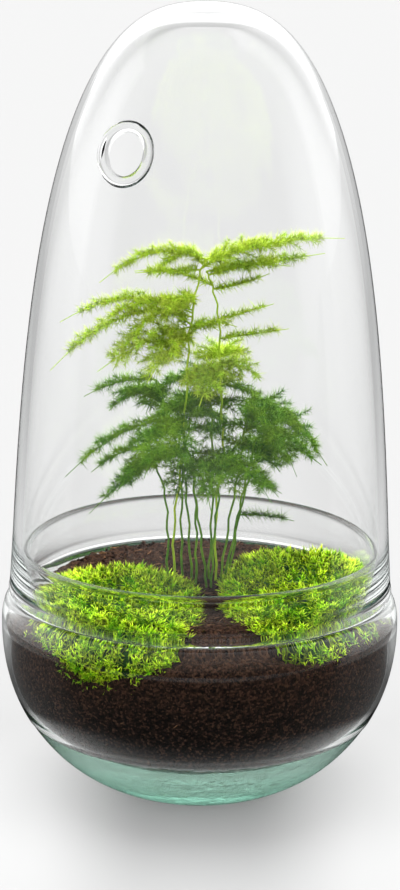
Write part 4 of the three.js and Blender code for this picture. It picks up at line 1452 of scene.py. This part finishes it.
@dataclass
class Studio:
    """The plain studio: a pale matte table, soft light from the sides and above, and the camera."""

    floor_half: float = 9.0
    floor_gap: float = 0.15
    distance: float = 2.0
    elevation: float = 15.0
    target: tuple[float, float, float] = (0.0, 0.0, 0.1865)
    aim: tuple[float, float, float] = (-0.0008, 0.0, 0.1600)
    lens: float = 180.1
    roll: float = 0.7
    back_glow: float = 0.88
    front_to_back: tuple[float, float] = (-0.6, 0.1)
    front_light: Fade = Fade(0.1, 0.6, 0.03, 0.3)
    above_table: Fade = Fade(-0.25, 0.08, 0.02, 1.0)
    soft_by_height: Fade = Fade(-0.2, 0.8, 12.0, 3.0)
    soft_by_side: Fade = Fade(0.3, 0.9, 0.75, 1.5)
    key_turn: float = -165.0
    key_height: float = 74.0
    key_spread: float = 50.0
    key_strength: float = 7.0
    panels: tuple[Panel, ...] = (
        Panel((-148, -93), (-8, 41), 1.5),
        Panel((97, 150), (-9, 66), 1.5),
        Panel((152, 182), (1, 24), 1.5),
        Panel((-182, -152), (1, 24), 1.5),
    )

    def lay_floor(self) -> bpy.types.Object:
        """Lays the table."""
        sheet = bmesh.new()
        bmesh.ops.create_grid(sheet, x_segments=1, y_segments=1, size=self.floor_half,
                              matrix=Matrix.Translation((0, 0, -mm(self.floor_gap))))
        data = bpy.data.meshes.new("table")
        sheet.to_mesh(data)
        sheet.free()
        data.materials.append(TABLE.material())
        table = bpy.data.objects.new("table", data)
        bpy.context.scene.collection.objects.link(table)
        table.visible_glossy = False
        return table

    def light_in_glass(self, tree: bpy.types.NodeTree,
                       way: bpy.types.bpy_prop_collection) -> bpy.types.NodeSocket:
        """Adds nodes for the light that shows in the glass: dark in front, with lit panels.

        Args:
            tree: The room's tree.
            way: The parts X, Y and Z of the direction.

        Returns:
            The light's strength.
        """
        front = add_node(tree, "ShaderNodeMath", {"operation": "MULTIPLY"}, {0: way["Y"], 1: -1.0})
        turn = add_node(tree, "ShaderNodeMath", {"operation": "ARCTAN2"}, {0: way["X"], 1: front.outputs[0]})
        height = add_node(tree, "ShaderNodeMath", {"operation": "ARCSINE"}, {0: way["Z"]})
        in_front = faded(tree, (self.front_light, way["Z"]))
        glow = faded(tree, (Fade(*self.front_to_back, in_front, self.back_glow), way["Y"]))
        for panel in self.panels:
            inside = faded(tree, *((fade, turn.outputs[0]) for fade in panel.edges(panel.turns)),
                           *((fade, height.outputs[0]) for fade in panel.edges(panel.heights)))
            glow = add_node(tree, "ShaderNodeMath", {"operation": "MULTIPLY_ADD"}, {
                0: inside, 1: panel.glow - self.back_glow, 2: glow}).outputs[0]
        return add_node(tree, "ShaderNodeMath", {"operation": "MULTIPLY"}, {
            0: glow, 1: faded(tree, (self.above_table, way["Z"]))}).outputs[0]

    def light_room(self) -> None:
        """Sets the room's light, which is soft all round but for what shows in the glass."""
        world = bpy.data.worlds.new("room")
        world.use_nodes = True
        tree = world.node_tree
        tree.nodes.clear()
        direction = add_node(tree, "ShaderNodeTexCoord").outputs["Generated"]
        way = add_node(tree, "ShaderNodeSeparateXYZ", inputs={0: direction}).outputs
        aside = add_node(tree, "ShaderNodeMath", {"operation": "ABSOLUTE"}, {0: way["X"]}).outputs[0]
        soft = faded(tree, (self.soft_by_height, way["Z"]), (self.soft_by_side, aside))
        in_glass = add_node(tree, "ShaderNodeLightPath").outputs["Is Glossy Ray"]
        strength = add_node(tree, "ShaderNodeMix", {"data_type": "FLOAT"}, {
            0: in_glass, 2: soft, 3: self.light_in_glass(tree, way)})
        light = add_node(tree, "ShaderNodeBackground", inputs={
            "Color": (1, 1, 1, 1), "Strength": strength.outputs[0]})
        add_node(tree, "ShaderNodeOutputWorld", inputs={"Surface": light.outputs[0]})
        bpy.context.scene.world = world

    def hang_key_light(self) -> None:
        """Hangs a wide soft light over and behind the terrarium, which doesn't mirror in the glass."""
        turn, height = math.radians(self.key_turn), math.radians(self.key_height)
        data = bpy.data.lights.new("overhead_light", "SUN")
        data.energy = self.key_strength
        data.angle = math.radians(self.key_spread)
        lamp = bpy.data.objects.new("overhead_light", data)
        place = Vector((math.sin(turn) * math.cos(height), -math.cos(turn) * math.cos(height),
                        math.sin(height)))
        lamp.rotation_euler = (-place).to_track_quat("-Z", "Y").to_euler()
        lamp.location = place * 2
        lamp.visible_glossy = False
        lamp.visible_transmission = False
        bpy.context.scene.collection.objects.link(lamp)

    def set_camera(self) -> bpy.types.Object:
        """Sets the camera where the photograph was taken from."""
        rise = math.radians(self.elevation)
        data = bpy.data.cameras.new("camera")
        data.lens = self.lens
        data.clip_end = 60
        camera = bpy.data.objects.new("camera", data)
        place = Vector(self.target) + Vector((0, -math.cos(rise), math.sin(rise))) * self.distance
        look = (Vector(self.aim) - place).to_track_quat("-Z", "Y").to_matrix().to_4x4()
        roll = Matrix.Rotation(math.radians(self.roll), 4, "Z")
        camera.matrix_world = Matrix.Translation(place) @ look @ roll
        bpy.context.scene.collection.objects.link(camera)
        bpy.context.scene.camera = camera
        return camera

    def build(self) -> None:
        """Sets up the whole studio."""
        scene = bpy.context.scene
        self.set_camera()
        self.lay_floor()
        self.light_room()
        self.hang_key_light()
        scene.view_settings.view_transform = "Standard"
        scene.view_settings.look = "None"
        scene.cycles.use_denoising = True
        scene.cycles.transparent_max_bounces = 24
        scene.cycles.transmission_bounces = 24
        scene.cycles.glossy_bounces = 24
        scene.cycles.max_bounces = 28


def main() -> None:
    """Builds the terrarium round the frame, piece by piece."""
    logging.basicConfig(level=logging.INFO, format="%(name)s: %(message)s")
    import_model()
    Studio().build()
    bowl = GlassBowl()
    soil = SoilBed(bowl)
    builders: list[tuple[str, Callable[[], Any]]] = [
        ("glass bowl", bowl.build),
        ("glass dome", GlassDome().build),
        ("soil", soil.build),
        ("left moss", MossCushion("moss_left", (-36, -32, 84), (38, 53, 16), soil, 11, 25).build),
        ("right moss", MossCushion("moss_right", (46, -12, 85), (37, 57, 18), soil, 12, 24).build),
        ("fern", Fern().build),
    ]
    for label, build in builders:
        made = build()
        pieces = made if isinstance(made, list) else [made]
        for piece in pieces:
            LOG.info("%s: %s, %d faces", label, piece.name, len(piece.data.polygons))
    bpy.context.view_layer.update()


if __name__ == "__main__":
    main()
